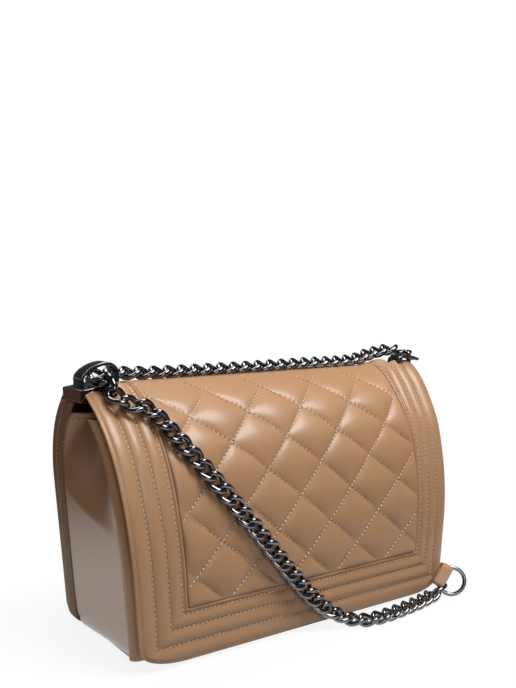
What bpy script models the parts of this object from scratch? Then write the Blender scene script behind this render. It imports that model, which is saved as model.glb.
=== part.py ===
"""Quilted leather shoulder bag with a curb-chain strap, built as separate solids.

Run with: blender --background --python part.py
The bag stands on the floor at z = 0 with its flap towards -Y. Lengths are in metres.
Every panel is a grid of points on a side profile made of a few arcs, given a thickness.
"""
import math

import bmesh
import bpy
import numpy as np
from mathutils import Vector

# Fits shared by all pieces
CLEARANCE = 0.0003
HALF_TURN = math.pi
FULL_TURN = 2 * math.pi

# Side profile of the outer leather, from the flap's lower edge over the ridge to the back
FLAP_Y = -0.057
FLAP_BOTTOM_Z = 0.0025
FLAP_STRAIGHT = 0.052
SHOULDER_RADIUS = 0.191
SHOULDER_TURN = math.radians(18)
BROW_RADIUS = 0.085
BROW_TURN = math.radians(42)
RIDGE_RADIUS = 0.024
RIDGE_TURN = math.radians(30)
REAR_RADIUS = 0.030
REAR_TURN = math.radians(30)
BACK_RADIUS = 0.070
BACK_TURN = math.radians(60)
BACK_STRAIGHT = 0.099

# Widths across the bag, half of each
FLAP_HALF_WIDTH = 0.125
SIDE_SLOPE_share = 0.04
BODY_OVERHANG = 0.001

# Flap leather
FRAME_THICKNESS = 0.0016
FLAP_LINING_THICKNESS = 0.0011
FRAME_WIDTH = 0.033
FLAP_CORNER_RADIUS = 0.012
PANEL_CORNER_RADIUS = 0.005
EDGE_DROP = 0.0012
EDGE_ROLL = 0.006
LINING_INSET = 0.002
LINING_GAP = 0.0004
QUILT_RISE = 0.0005
QUILT_DOME = 0.0003
FLAP_FRONT_LENGTH = 0.1700
RIDGE_LENGTH = 0.0385
RIDGE_HEM = 0.0042
HINGE_LENGTH = FLAP_FRONT_LENGTH + RIDGE_LENGTH
NOTCH_END = HINGE_LENGTH - RIDGE_HEM

# Body leather
FRONT_PANEL_DEPTH = 0.005
FRONT_PANEL_THICKNESS = 0.0022
FRONT_PANEL_SETBACK = 0.014
BACK_PANEL_THICKNESS = 0.003
BINDING_DEPTH = 0.005
BINDING_THICKNESS = 0.002
FLANGE_DEPTH = 0.019
GUSSET_THICKNESS = 0.002
GUSSET_HOLLOW = 0.0075
GUSSET_HOLLOW_POWER = 0.7
GUSSET_TOP_GAP = 0.009
BOTTOM_THICKNESS = 0.003
BODY_LINING_THICKNESS = 0.0012
BODY_LINING_INSET = 0.0115
BODY_LINING_TOP_GAP = 0.0125
BASE_BOARD_THICKNESS = 0.002

# Magnetic snap under the flap
SNAP_RADIUS = 0.009
SNAP_STUD_THICKNESS = 0.0006
SNAP_SOCKET_THICKNESS = 0.0005
SNAP_HEIGHT = 0.045

# Corner brackets
BRACKET_OUTER_X = 0.134
BRACKET_LENGTH = 0.024
BRACKET_SETBACK = 0.003
BRACKET_SINK = 0.0031
BRACKET_HEIGHT = 0.007
BRACKET_RISE = 0.0035
NOTCH_MARGIN = 0.0022
ARCH_OVERHANG = 0.002
ARCH_DEPTH = 0.015
ARCH_THICKNESS = 0.002
ARCH_LEG_HEIGHT = 0.007
ARCH_HEIGHT = 0.023
ARCH_RIGHT_HEIGHT = 0.0195
TONGUE_LENGTH = 0.013
TONGUE_DEPTH = 0.008
TONGUE_THICKNESS = 0.0015
TONGUE_DROP = 0.0006
EDGE_BEVEL = 0.0006

# Curb chain
WIRE_RADIUS = 0.0015
LINK_WIRE_RADIUS = 0.0017
LINK_HALF_LENGTH = 0.0059
LINK_HALF_WIDTH = 0.0042
LINK_TWIST = math.radians(-50)
LINK_PITCH = 0.0099
LINK_POINTS = 10
WIRE_SIDES = 5
FACET_TURN = math.radians(36)
ANCHOR_HALF_WIDTH = 0.0045
ANCHOR_HALF_LENGTH = 0.0121
ANCHOR_SIDE_HALF_LENGTH = 0.0065
ANCHOR_POINTS = 16

# Rings and shoulder pad
RING_RADIUS = 0.00975
RING_LEAN = math.radians(18)
RING_HEADING = math.radians(-34.8)
RING_POINTS = 28
RING_SIDES = 8
PAD_HALF_WIDTH = 0.0072
LOOP_HALF_WIDTH = 0.0060
PAD_THICKNESS = 0.0026
LOOP_RADIUS = 0.0046
LOOP_THICKNESS = 0.0012
LOOP_LEG = 0.0062
LOOP_LEG_DIRECTION = (0.75, 0.25, -0.70)
HOOK_ACROSS = (-0.02, 0.82, -0.57)
FLOOR_TURN_Z = 0.024

# Chain and pad routes, hand-picked points of centre lines
STRAP_AXIS_LEFT = (-0.1186, -0.016, 0.1672)
STRAP_AXIS_RIGHT = (0.1392, 0.0050, 0.1722)
FRONT_ROUTE = [
    (-0.1186, -0.0175, 0.1657), (-0.1176, -0.0237, 0.1596), (-0.1100, -0.0278, 0.1548),
    (-0.0997, -0.0300, 0.1506), (-0.0897, -0.0408, 0.1364), (-0.0781, -0.0496, 0.1199),
    (-0.0645, -0.0557, 0.1016), (-0.0490, -0.0595, 0.0813), (-0.0325, -0.0618, 0.0600),
    (-0.0140, -0.0630, 0.0368), (0.0060, -0.0630, 0.0165), (0.0220, -0.0670, 0.0060),
    (0.0320, -0.0735, 0.0040), (0.0482, -0.0762, 0.0040), (0.0752, -0.0738, 0.0040),
    (0.0930, -0.0705, 0.0040), (0.1044, -0.0677, 0.0041), (0.1130, -0.0658, 0.0055),
]
TOP_ROUTE = [
    (-0.1125, 0.0098, 0.1694), (-0.0980, 0.0090, 0.1692), (-0.0696, 0.0070, 0.1684),
    (-0.0175, 0.0070, 0.1682), (0.0381, 0.0070, 0.1684), (0.0846, 0.0082, 0.1686),
    (0.1080, 0.0100, 0.1704), (0.1260, 0.0102, 0.1722),
]
SIDE_ROUTE = [
    (0.1392, 0.0056, 0.1702), (0.1392, 0.0090, 0.1590), (0.1392, 0.0210, 0.1250),
    (0.1396, 0.0350, 0.0800), (0.1400, 0.0450, 0.0400), (0.1400, 0.0485, 0.0236),
]
PAD_ROUTE = [
    (0.1226, -0.0620, 0.0130), (0.1285, -0.0577, 0.0112), (0.1322, -0.0470, 0.0112),
    (0.1362, -0.0300, 0.0098), (0.1395, -0.0060, 0.0092), (0.1400, 0.0200, 0.0092),
    (0.1400, 0.0355, 0.0108),
]
RING_FRONT_CENTRE = (0.1225, -0.0685, 0.0112)
RING_BACK_CENTRE = (0.1400, 0.0480, 0.0118)


class Profile:
    """Outer leather line in the YZ plane, walked by arc length from the flap's edge."""

    def __init__(self):
        self.pieces = [
            (FLAP_STRAIGHT, 0.0),
            (SHOULDER_RADIUS * SHOULDER_TURN, SHOULDER_TURN),
            (BROW_RADIUS * BROW_TURN, BROW_TURN),
            (RIDGE_RADIUS * RIDGE_TURN, RIDGE_TURN),
            (REAR_RADIUS * REAR_TURN, REAR_TURN),
            (BACK_RADIUS * BACK_TURN, BACK_TURN),
            (BACK_STRAIGHT, 0.0),
        ]
        self.length = sum(piece[0] for piece in self.pieces)

    def point(self, distance, depth=0.0):
        """Return (y, z) at an arc length, moved inwards by a depth."""
        y, z, heading = FLAP_Y, FLAP_BOTTOM_Z, 0.0
        for length, turn in self.pieces:
            step = min(max(distance, 0.0), length)
            if turn == 0.0:
                y += step * math.sin(heading)
                z += step * math.cos(heading)
            else:
                radius = length / turn
                new = heading + step / radius
                y += radius * (math.cos(heading) - math.cos(new))
                z += radius * (math.sin(new) - math.sin(heading))
                heading = new
            distance -= step
            if distance <= 0.0:
                break
        return y + depth * math.cos(heading), z - depth * math.sin(heading)

    def curve(self, start, end, count, depth=0.0):
        """Return count points (y, z) between two arc lengths, moved inwards by a depth."""
        return [self.point(s, depth) for s in np.linspace(start, end, count)]


PROFILE = Profile()
APEX_LENGTH = sum(piece[0] for piece in PROFILE.pieces[:4])
FLAP_FRONT_Y, FLAP_FRONT_Z = PROFILE.point(FLAP_FRONT_LENGTH)
BRACKET_FRONT_Y = FLAP_FRONT_Y + BRACKET_SETBACK
BRACKET_BASE_Z = FLAP_FRONT_Z - BRACKET_SINK
BRACKET_DEPTH = PROFILE.point(NOTCH_END)[0] - NOTCH_MARGIN - BRACKET_FRONT_Y
ARCH_FRONT_Y = BRACKET_FRONT_Y - ARCH_OVERHANG
FRONT_PANEL_LENGTH = FLAP_FRONT_LENGTH - FRONT_PANEL_SETBACK
GUSSET_TOP_Z = BRACKET_BASE_Z - GUSSET_TOP_GAP
BODY_LINING_TOP_Z = GUSSET_TOP_Z - BODY_LINING_TOP_GAP


def front_y(z, depth):
    """Return y of the front half of the profile at a height, at a depth."""
    line = np.array(PROFILE.curve(0.0, APEX_LENGTH, 80, depth))
    return float(np.interp(z, line[:, 1], line[:, 0]))


def back_y(z, depth=0.0):
    """Return y of the back half of the profile at a height, at a depth."""
    line = np.array(PROFILE.curve(PROFILE.length, APEX_LENGTH, 80, depth))
    return float(np.interp(z, line[:, 1], line[:, 0]))


def flap_half(z):
    """Return half the flap's width at a height."""
    return FLAP_HALF_WIDTH + SIDE_SLOPE_share * (z - FLAP_BOTTOM_Z)


def body_half(z):
    """Return half the body's width at a height."""
    return flap_half(z) + BODY_OVERHANG


def make_material(name, colour, roughness, metallic):
    """Return a Principled material with the given look."""
    material = bpy.data.materials.new(name)
    material.use_nodes = True
    shader = material.node_tree.nodes["Principled BSDF"]
    shader.inputs["Base Color"].default_value = (*colour, 1.0)
    shader.inputs["Roughness"].default_value = roughness
    shader.inputs["Metallic"].default_value = metallic
    return material


def add_object(name, points, faces, look):
    """Add a closed mesh object with outward normals and its own material."""
    mesh = bpy.data.meshes.new(name)
    mesh.from_pydata([tuple(p) for p in points], [], faces)
    shell = bmesh.new()
    shell.from_mesh(mesh)
    bmesh.ops.recalc_face_normals(shell, faces=shell.faces)
    shell.to_mesh(mesh)
    shell.free()
    mesh.polygons.foreach_set("use_smooth", [True] * len(mesh.polygons))
    mesh.materials.append(make_material(name + "_look", *look))
    obj = bpy.data.objects.new(name, mesh)
    bpy.context.scene.collection.objects.link(obj)
    return obj


def grid_solid(name, outer, inner, look):
    """Close two matching grids of points into one solid and add it."""
    outer, inner = np.asarray(outer), np.asarray(inner)
    rows, cols = outer.shape[:2]
    points = np.concatenate([outer.reshape(-1, 3), inner.reshape(-1, 3)])
    start = rows * cols
    faces = []
    for i in range(rows - 1):
        for j in range(cols - 1):
            a = i * cols + j
            faces.append((a, a + 1, a + cols + 1, a + cols))
            faces.append((start + a, start + a + cols, start + a + cols + 1, start + a + 1))
    rim = [j for j in range(cols)]
    rim += [i * cols + cols - 1 for i in range(1, rows)]
    rim += [(rows - 1) * cols + j for j in range(cols - 2, -1, -1)]
    rim += [i * cols for i in range(rows - 2, 0, -1)]
    for k, a in enumerate(rim):
        b = rim[(k + 1) % len(rim)]
        faces.append((a, start + a, start + b, b))
    return add_object(name, points, faces, look)


def box(name, low, high, look, bevel=0.0):
    """Add a box between two corners, with rounded edges where a bevel is given."""
    top = [[(x, y, high[2]) for x in (low[0], high[0])] for y in (low[1], high[1])]
    base = [[(x, y, low[2]) for x in (low[0], high[0])] for y in (low[1], high[1])]
    obj = grid_solid(name, top, base, look)
    return bevelled(obj, bevel)


def bevelled(obj, width):
    """Round the edges of an object by a width, if there is one."""
    if width > 0.0:
        rounding = obj.modifiers.new("rounding", "BEVEL")
        rounding.width = width
        rounding.segments = 2
    return obj


def disc(name, centre_y, thickness, look):
    """Add a snap disc across Y, its front face at centre_y."""
    sides = 32
    rings = [[
        (SNAP_RADIUS * math.cos(a), centre_y + step, SNAP_HEIGHT + SNAP_RADIUS * math.sin(a))
        for a in np.arange(sides) * FULL_TURN / sides] for step in (0.0, thickness)]
    points = rings[0] + rings[1]
    faces = [tuple(range(sides)), tuple(range(2 * sides - 1, sides - 1, -1))]
    faces += [(k, (k + 1) % sides, sides + (k + 1) % sides, sides + k) for k in range(sides)]
    return add_object(name, points, faces, look)


def flap_point(x, distance, depth):
    """Return a point on the flap at a depth under its outer face."""
    return x, *PROFILE.point(distance, depth)


def u_outline(inset, radius, side_count, corner_count, bottom_count):
    """Return (x, distance) points down the left side, along the bottom and up the right."""
    left = []
    for s in np.linspace(FLAP_FRONT_LENGTH, inset + radius, side_count):
        left.append((-(flap_half(PROFILE.point(s)[1]) - inset), s))
    corner_x = flap_half(PROFILE.point(inset + radius)[1]) - inset - radius
    for turn in np.linspace(0.0, HALF_TURN / 2, corner_count)[1:]:
        left.append((-corner_x - radius * math.cos(turn), inset + radius - radius * math.sin(turn)))
    bottom = [(x, inset) for x in np.linspace(-corner_x, corner_x, bottom_count)[1:-1]]
    return left + bottom + [(-x, s) for x, s in reversed(left)]


def flap_frame(look):
    """Add the padded border down both sides and along the bottom of the flap."""
    steps = (
        (0.0, FLAP_CORNER_RADIUS, EDGE_DROP),
        (EDGE_ROLL / 2, FLAP_CORNER_RADIUS - EDGE_ROLL / 2, EDGE_DROP / 4),
        (EDGE_ROLL, (FLAP_CORNER_RADIUS + PANEL_CORNER_RADIUS) / 2, 0.0),
        (FRAME_WIDTH, PANEL_CORNER_RADIUS, 0.0))
    outline = [u_outline(inset, radius, 20, 5, 12) for inset, radius, drop in steps]
    outer = [[flap_point(x, s, step[2]) for x, s in line] for line, step in zip(outline, steps)]
    inner = [[flap_point(x, s, FRAME_THICKNESS) for x, s in line] for line in outline]
    return grid_solid("flap_frame", outer, inner, look)


def rounded_half(distance, start, radius, inset):
    """Return half a panel's width at a distance, its lower corners rounded."""
    half = flap_half(PROFILE.point(distance)[1]) - inset
    rise = distance - start
    if rise < radius:
        half -= radius - math.sqrt(max(0.0, radius ** 2 - (radius - rise) ** 2))
    return half


def flap_quilt(look):
    """Add the quilted centre panel, plain and slightly domed here."""
    start = FRAME_WIDTH + CLEARANCE
    rows = [start, start + PANEL_CORNER_RADIUS / 4]
    rows += list(np.linspace(start + PANEL_CORNER_RADIUS, FLAP_FRONT_LENGTH, 18))
    outer, inner = [], []
    for s in rows:
        half = rounded_half(s, start, PANEL_CORNER_RADIUS, FRAME_WIDTH + CLEARANCE)
        across = np.linspace(-1, 1, 7)
        rise = min(1.0, (s - start) / FRAME_WIDTH)
        dome = [QUILT_RISE + QUILT_DOME * rise * (1 - c ** 4) for c in across]
        outer.append([flap_point(half * c, s, -d) for c, d in zip(across, dome)])
        inner.append([flap_point(half * c, s, FRAME_THICKNESS) for c in across])
    return grid_solid("flap_quilted_panel", outer, inner, look)


def distance_at_y(y):
    """Return the arc length at which the profile over the ridge reaches a y."""
    steps = np.linspace(FLAP_STRAIGHT, HINGE_LENGTH, 400)
    return float(np.interp(y, [PROFILE.point(s)[0] for s in steps], steps))


def notched_half(distance, inset):
    """Return half the flap's width over the ridge, cut back between the brackets."""
    if FLAP_FRONT_LENGTH < distance < NOTCH_END:
        return BRACKET_OUTER_X - BRACKET_LENGTH - CLEARANCE
    return flap_half(PROFILE.point(distance)[1]) - inset


def ridge_rows():
    """Return the arc lengths of the rows over the ridge, doubled where the notches end."""
    rows = list(np.linspace(FLAP_FRONT_LENGTH + CLEARANCE, NOTCH_END - CLEARANCE, 13))
    return rows + list(np.linspace(NOTCH_END + CLEARANCE, HINGE_LENGTH, 3))


def strip_over(name, rows, half_at, depths, look):
    """Add a sheet across the bag, row by row, between two depths."""
    grids = [[[flap_point(half_at(s) * c, s, depth) for c in (-1, 0, 1)] for s in rows]
             for depth in depths]
    return grid_solid(name, *grids, look)


def flap_pieces(looks):
    """Add the leather pieces of the flap and return them."""
    lining_depth = FRAME_THICKNESS + LINING_GAP
    depths = (lining_depth, lining_depth + FLAP_LINING_THICKNESS)
    start = LINING_INSET
    rows = [start, start + FLAP_CORNER_RADIUS / 8, start + FLAP_CORNER_RADIUS / 3]
    rows += list(np.linspace(start + FLAP_CORNER_RADIUS, FLAP_FRONT_LENGTH - CLEARANCE, 16))
    rows += ridge_rows()

    def lining_half(s):
        half = notched_half(s, LINING_INSET)
        return min(half, rounded_half(s, start, FLAP_CORNER_RADIUS, LINING_INSET))

    return [
        flap_frame(looks["leather"]),
        flap_quilt(looks["leather"]),
        strip_over("ridge_panel", ridge_rows(), lambda s: notched_half(s, 0.0),
                   (0.0, FRAME_THICKNESS), looks["leather"]),
        strip_over("flap_lining", rows, lining_half, depths, looks["lining"]),
    ]


def side_strip(name, side, rows, look):
    """Add a strip on one side of the body from rows of (near y, far y, z)."""
    grids = []
    for inset in (0.0, BINDING_THICKNESS):
        grids.append([[(side * (body_half(z) - inset), y, z) for y in (near, far)]
                      for near, far, z in rows])
    return grid_solid(name, *grids, look)


def gusset(name, side, look):
    """Add a hollow side panel between the front binding and the back flange."""
    low = BOTTOM_THICKNESS + CLEARANCE
    grids = []
    for inset in (CLEARANCE, CLEARANCE + GUSSET_THICKNESS):
        grid = []
        for z in np.linspace(low, GUSSET_TOP_Z, 15):
            near = front_y(z, FRONT_PANEL_DEPTH + BINDING_DEPTH) + CLEARANCE
            far = back_y(z) - FLANGE_DEPTH - CLEARANCE
            row = []
            for v in np.linspace(0.0, 1.0, 11):
                hollow = GUSSET_HOLLOW * max(0.0, math.sin(HALF_TURN * v)) ** GUSSET_HOLLOW_POWER
                row.append((side * (body_half(z) - inset - hollow), near + (far - near) * v, z))
            grid.append(row)
        grids.append(grid)
    return grid_solid(name, *grids, look)


def lining_cup(look):
    """Add the body lining, a thin shell that is open at the top."""
    floor_z = BOTTOM_THICKNESS + BASE_BOARD_THICKNESS + 2 * CLEARANCE
    rings = []
    for wall in (0.0, BODY_LINING_THICKNESS):
        for z in np.linspace(BODY_LINING_TOP_Z, floor_z + wall, 10):
            near = front_y(z, FRONT_PANEL_DEPTH + FRONT_PANEL_THICKNESS + CLEARANCE + wall)
            far = back_y(z, BACK_PANEL_THICKNESS + CLEARANCE + wall)
            half = body_half(z) - BODY_LINING_INSET - wall
            ring = [(x, near, z) for x in np.linspace(-half, half, 7)]
            ring += [(half, y, z) for y in np.linspace(near, far, 5)[1:-1]]
            ring += [(x, far, z) for x in np.linspace(half, -half, 7)]
            ring += [(-half, y, z) for y in np.linspace(far, near, 5)[1:-1]]
            rings.append(ring)
    count, size = len(rings) // 2, len(rings[0])
    order = list(range(count - 1, -1, -1)) + list(range(count, 2 * count))
    faces = []
    for one, two in zip(order, order[1:]):
        for k in range(size):
            nxt = (k + 1) % size
            faces.append((one * size + k, one * size + nxt, two * size + nxt, two * size + k))
    faces.append(tuple((count - 1) * size + k for k in range(size)))
    faces.append(tuple((2 * count - 1) * size + k for k in range(size)))
    return add_object("body_lining", np.concatenate(rings), faces, look)


def body_pieces(looks):
    """Add the panels of the body."""
    def panel_half(s):
        return body_half(PROFILE.point(s)[1]) - BINDING_THICKNESS - CLEARANCE

    front_depths = (FRONT_PANEL_DEPTH, FRONT_PANEL_DEPTH + FRONT_PANEL_THICKNESS)
    front_rows = list(np.linspace(0.0, FRONT_PANEL_LENGTH, 17))
    back_rows = list(np.linspace(HINGE_LENGTH + CLEARANCE, PROFILE.length, 17))
    grids = [[[(panel_half(s) * c, *PROFILE.point(s, depth)) for c in (-1, 0, 1)]
              for s in front_rows] for depth in front_depths]
    grid_solid("front_panel", *grids, looks["leather"])
    grids = [[[(panel_half(s) * c, *PROFILE.point(s, depth)) for c in (-1, 0, 1)]
              for s in back_rows] for depth in (0.0, BACK_PANEL_THICKNESS)]
    grid_solid("back_panel", *grids, looks["leather"])
    top_z = PROFILE.point(HINGE_LENGTH, BACK_PANEL_THICKNESS)[1]
    for word, side in (("left", -1), ("right", 1)):
        rows = []
        for s in np.linspace(0.0, FRONT_PANEL_LENGTH, 17):
            outer_y, outer_z = PROFILE.point(s, FRONT_PANEL_DEPTH)
            rows.append((outer_y, front_y(outer_z, FRONT_PANEL_DEPTH + BINDING_DEPTH), outer_z))
        side_strip("front_binding_" + word, side, rows, looks["leather"])
        rows = [(back_y(z) - FLANGE_DEPTH, back_y(z), z)
                for z in np.linspace(FLAP_BOTTOM_Z, top_z, 17)]
        side_strip("back_flange_" + word, side, rows, looks["leather"])
        gusset("gusset_" + word, side, looks["leather"])
    inner_front = front_y(FLAP_BOTTOM_Z, FRONT_PANEL_DEPTH + FRONT_PANEL_THICKNESS) + CLEARANCE
    inner_back = back_y(FLAP_BOTTOM_Z, BACK_PANEL_THICKNESS) - CLEARANCE
    half = body_half(0.0) - BINDING_THICKNESS - CLEARANCE
    box("bottom_panel", (-half, inner_front, 0.0), (half, inner_back, BOTTOM_THICKNESS),
        looks["leather"])
    low = BOTTOM_THICKNESS + CLEARANCE
    half = body_half(low) - BODY_LINING_INSET
    box("base_board", (-half, inner_front, low), (half, inner_back, low + BASE_BOARD_THICKNESS),
        looks["board"])
    lining_cup(looks["lining"])


def snap_pieces(looks):
    """Add the magnetic snap and return the disc that rides on the flap."""
    stud_y = FLAP_Y + FRAME_THICKNESS + LINING_GAP + FLAP_LINING_THICKNESS + CLEARANCE
    socket_y = FLAP_Y + FRONT_PANEL_DEPTH - CLEARANCE - SNAP_SOCKET_THICKNESS
    disc("snap_socket", socket_y, SNAP_SOCKET_THICKNESS, looks["steel"])
    return disc("snap_stud", stud_y, SNAP_STUD_THICKNESS, looks["steel"])


def bracket_base(name, side, look):
    """Add the wedge-shaped block at one end of the ridge."""
    outer_x, inner_x = BRACKET_OUTER_X, BRACKET_OUTER_X - BRACKET_LENGTH
    low_y, high_y = BRACKET_FRONT_Y, BRACKET_FRONT_Y + BRACKET_DEPTH
    top_z = BRACKET_BASE_Z + BRACKET_HEIGHT
    top = [[(side * inner_x, y, top_z + BRACKET_RISE), (side * outer_x, y, top_z)]
           for y in (low_y, high_y)]
    base = [[(side * inner_x, y, BRACKET_BASE_Z), (side * outer_x, y, BRACKET_BASE_Z)]
            for y in (low_y, high_y)]
    return bevelled(grid_solid(name, top, base, look), EDGE_BEVEL)


def arch(name, side, peak_z, look):
    """Add the arched strap that stands on a bracket's block."""
    top_z = BRACKET_BASE_Z + BRACKET_HEIGHT + CLEARANCE
    outer_x = BRACKET_OUTER_X - ARCH_THICKNESS
    inner_x = BRACKET_OUTER_X - BRACKET_LENGTH + ARCH_THICKNESS
    shoulder_z = top_z + ARCH_LEG_HEIGHT
    inner_z = top_z + BRACKET_RISE
    path = [(outer_x, top_z + ARCH_THICKNESS * BRACKET_RISE / BRACKET_LENGTH), (outer_x, shoulder_z)]
    spread = outer_x - inner_x
    crown_x = inner_x + spread / 3
    for turn in np.linspace(0.0, HALF_TURN / 2, 6)[1:]:
        path.append((crown_x + (outer_x - crown_x) * math.cos(turn),
                     shoulder_z + (peak_z - ARCH_THICKNESS - shoulder_z) * math.sin(turn)))
    drop = peak_z - ARCH_THICKNESS - inner_z
    for turn in np.linspace(HALF_TURN / 2, HALF_TURN, 5)[1:]:
        path.append((crown_x + (crown_x - inner_x) * math.cos(turn),
                     inner_z + drop / 2 + drop / 2 * math.sin(turn)))
    path.append((inner_x, inner_z))
    line = np.array(path)
    step = np.gradient(line, axis=0)
    step /= np.linalg.norm(step, axis=1)[:, None]
    step[0] = step[1] = (0.0, 1.0)
    step[-1] = (0.0, -1.0)
    normal = np.stack([step[:, 1], -step[:, 0]], axis=1)
    outer_line = line + normal * ARCH_THICKNESS
    grids = []
    for curve in (outer_line, line):
        grids.append([[(side * x, y, z) for x, z in curve]
                      for y in (ARCH_FRONT_Y, ARCH_FRONT_Y + ARCH_DEPTH)])
    return grid_solid(name, *grids, look)


def link_points(centre, along, across, half_length, half_width, twist):
    """Return the centre line of one chain link, twisted along its length."""
    along = Vector(along).normalized()
    across = Vector(across)
    across = (across - across.dot(along) * along).normalized()
    up = along.cross(across)
    points = []
    for turn in np.arange(LINK_POINTS) * FULL_TURN / LINK_POINTS:
        u, v = math.cos(turn), half_width * math.sin(turn)
        angle = twist * u
        points.append(Vector(centre) + along * (half_length * u)
                      + across * (v * math.cos(angle)) + up * (v * math.sin(angle)))
    return points


def anchor_points(centre, along, across, half_length, half_width):
    """Return the centre line of a flat link with rounded corners and straight bars."""
    points = []
    for turn in (np.arange(ANCHOR_POINTS) + 0.5) * FULL_TURN / ANCHOR_POINTS:
        u, v = (math.copysign(math.sqrt(abs(c)), c) for c in (math.cos(turn), math.sin(turn)))
        points.append(centre + Vector(along) * (half_length * u) + Vector(across) * (half_width * v))
    return points


def loop_mesh(points, radius, sides, phase=0.0):
    """Return points and faces of a closed wire through a loop of points."""
    count = len(points)
    middle = sum(points, Vector()) / count
    verts, faces = [], []
    for k, point in enumerate(points):
        tangent = (points[(k + 1) % count] - points[k - 1]).normalized()
        outward = point - middle
        outward = (outward - outward.dot(tangent) * tangent).normalized()
        third = tangent.cross(outward)
        for turn in phase + np.arange(sides) * FULL_TURN / sides:
            verts.append(point + (outward * math.cos(turn) + third * math.sin(turn)) * radius)
    for k in range(count):
        nxt = (k + 1) % count
        for j in range(sides):
            other = (j + 1) % sides
            faces.append((k * sides + j, nxt * sides + j, nxt * sides + other, k * sides + other))
    return verts, faces


def smooth_route(route, count=600):
    """Return many points of a smooth curve through a route's points."""
    points = np.array(route)
    ends = np.concatenate([[2 * points[0] - points[1]], points, [2 * points[-1] - points[-2]]])
    curve = []
    for k in range(1, len(points)):
        p0, p1, p2, p3 = ends[k - 1], ends[k], ends[k + 1], ends[k + 2]
        for t in np.linspace(0.0, 1.0, count // len(points), endpoint=False):
            curve.append((2 * p1 + (p2 - p0) * t + (2 * p0 - 5 * p1 + 4 * p2 - p3) * t ** 2
                          + (3 * p1 - p0 - 3 * p2 + p3) * t ** 3) / 2)
    return np.array(curve + [points[-1]])


def stations(route, spacing):
    """Return evenly spaced points and directions along a smooth route."""
    curve = smooth_route(route)
    lengths = np.concatenate([[0.0], np.cumsum(np.linalg.norm(np.diff(curve, axis=0), axis=1))])
    count = int(round(lengths[-1] / spacing)) + 1
    at = np.linspace(0.0, lengths[-1], count)
    centres = np.stack([np.interp(at, lengths, curve[:, k]) for k in range(3)], axis=1)
    ahead = np.stack([np.interp(at + spacing / 2, lengths, curve[:, k]) for k in range(3)], axis=1)
    behind = np.stack([np.interp(at - spacing / 2, lengths, curve[:, k]) for k in range(3)], axis=1)
    return centres, ahead - behind


def curb_run(name, route, face_at, look, flat_ends=None):
    """Add a run of interlocked links, joined where they touch, as one solid.

    The first and last link lie flat across the directions in flat_ends, where given.
    """
    centres, directions = stations(route, LINK_PITCH)
    halves = []
    for parity in (0, 1):
        points, faces = [], []
        for k in range(parity, len(centres), 2):
            outward = Vector(face_at(centres[k]))
            across = Vector(directions[k]).cross(outward)
            twist = LINK_TWIST
            if flat_ends is not None and k in (0, len(centres) - 1):
                across, twist = Vector(flat_ends[0 if k == 0 else 1]), 0.0
            line = link_points(centres[k], directions[k], across,
                               LINK_HALF_LENGTH, LINK_HALF_WIDTH, twist)
            verts, quads = loop_mesh(line, LINK_WIRE_RADIUS, WIRE_SIDES, FACET_TURN * parity)
            faces += [tuple(i + len(points) for i in quad) for quad in quads]
            points += verts
        halves.append(add_object(name if parity == 0 else name + "_odd", points, faces, look))
    return joined(*halves)


def joined(keep, other):
    """Join two closed objects into one solid and drop the second."""
    union = keep.modifiers.new("union", "BOOLEAN")
    union.operation = "UNION"
    union.solver = "EXACT"
    union.object = other
    other.hide_render = True
    other.display_type = "WIRE"
    return keep


def outward_at(centre):
    """Return the direction out of the bag's leather nearest to a point."""
    y, z = centre[1], centre[2]
    steps = np.linspace(0.0, HINGE_LENGTH, 200)
    line = np.array([PROFILE.point(s) for s in steps])
    k = int(np.argmin(np.hypot(line[:, 0] - y, line[:, 1] - z)))
    inner = PROFILE.point(steps[k], CLEARANCE)
    outward = Vector((0.0, line[k, 0] - inner[0], line[k, 1] - inner[1])).normalized()
    floor_share = min(1.0, max(0.0, (FLOOR_TURN_Z - z) / FLOOR_TURN_Z))
    return outward.lerp(Vector((0.0, 0.0, 1.0)), floor_share)




def ring_frame():
    """Return the front ring's right, up and facing directions."""
    right = Vector((math.cos(RING_HEADING), math.sin(RING_HEADING), 0.0))
    facing = Vector((right.y, -right.x, 0.0)) * math.cos(RING_LEAN)
    facing.z = math.sin(RING_LEAN)
    return right, facing.cross(right), facing


def ring(name, centre, right, up, look):
    """Add a round ring with its origin at its centre."""
    points = [right * (RING_RADIUS * math.cos(a)) + up * (RING_RADIUS * math.sin(a))
              for a in np.arange(RING_POINTS) * FULL_TURN / RING_POINTS]
    obj = add_object(name, *loop_mesh(points, WIRE_RADIUS, RING_SIDES), look)
    obj.location = centre
    return obj


def pad_band(look):
    """Add the leather shoulder pad, a band standing on its edge."""
    centres, directions = stations(PAD_ROUTE, 3 * PAD_THICKNESS)
    grids = []
    for side in (0.5, -0.5):
        grid = []
        for centre, direction in zip(centres, directions):
            normal = Vector(direction).cross(Vector((0.0, 0.0, 1.0))).normalized()
            shift = Vector(centre) + normal * (PAD_THICKNESS * side)
            grid.append([tuple(shift + Vector((0.0, 0.0, h * PAD_HALF_WIDTH))) for h in (-1, 0, 1)])
        grids.append(grid)
    return grid_solid("shoulder_pad", *grids, look)


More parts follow.
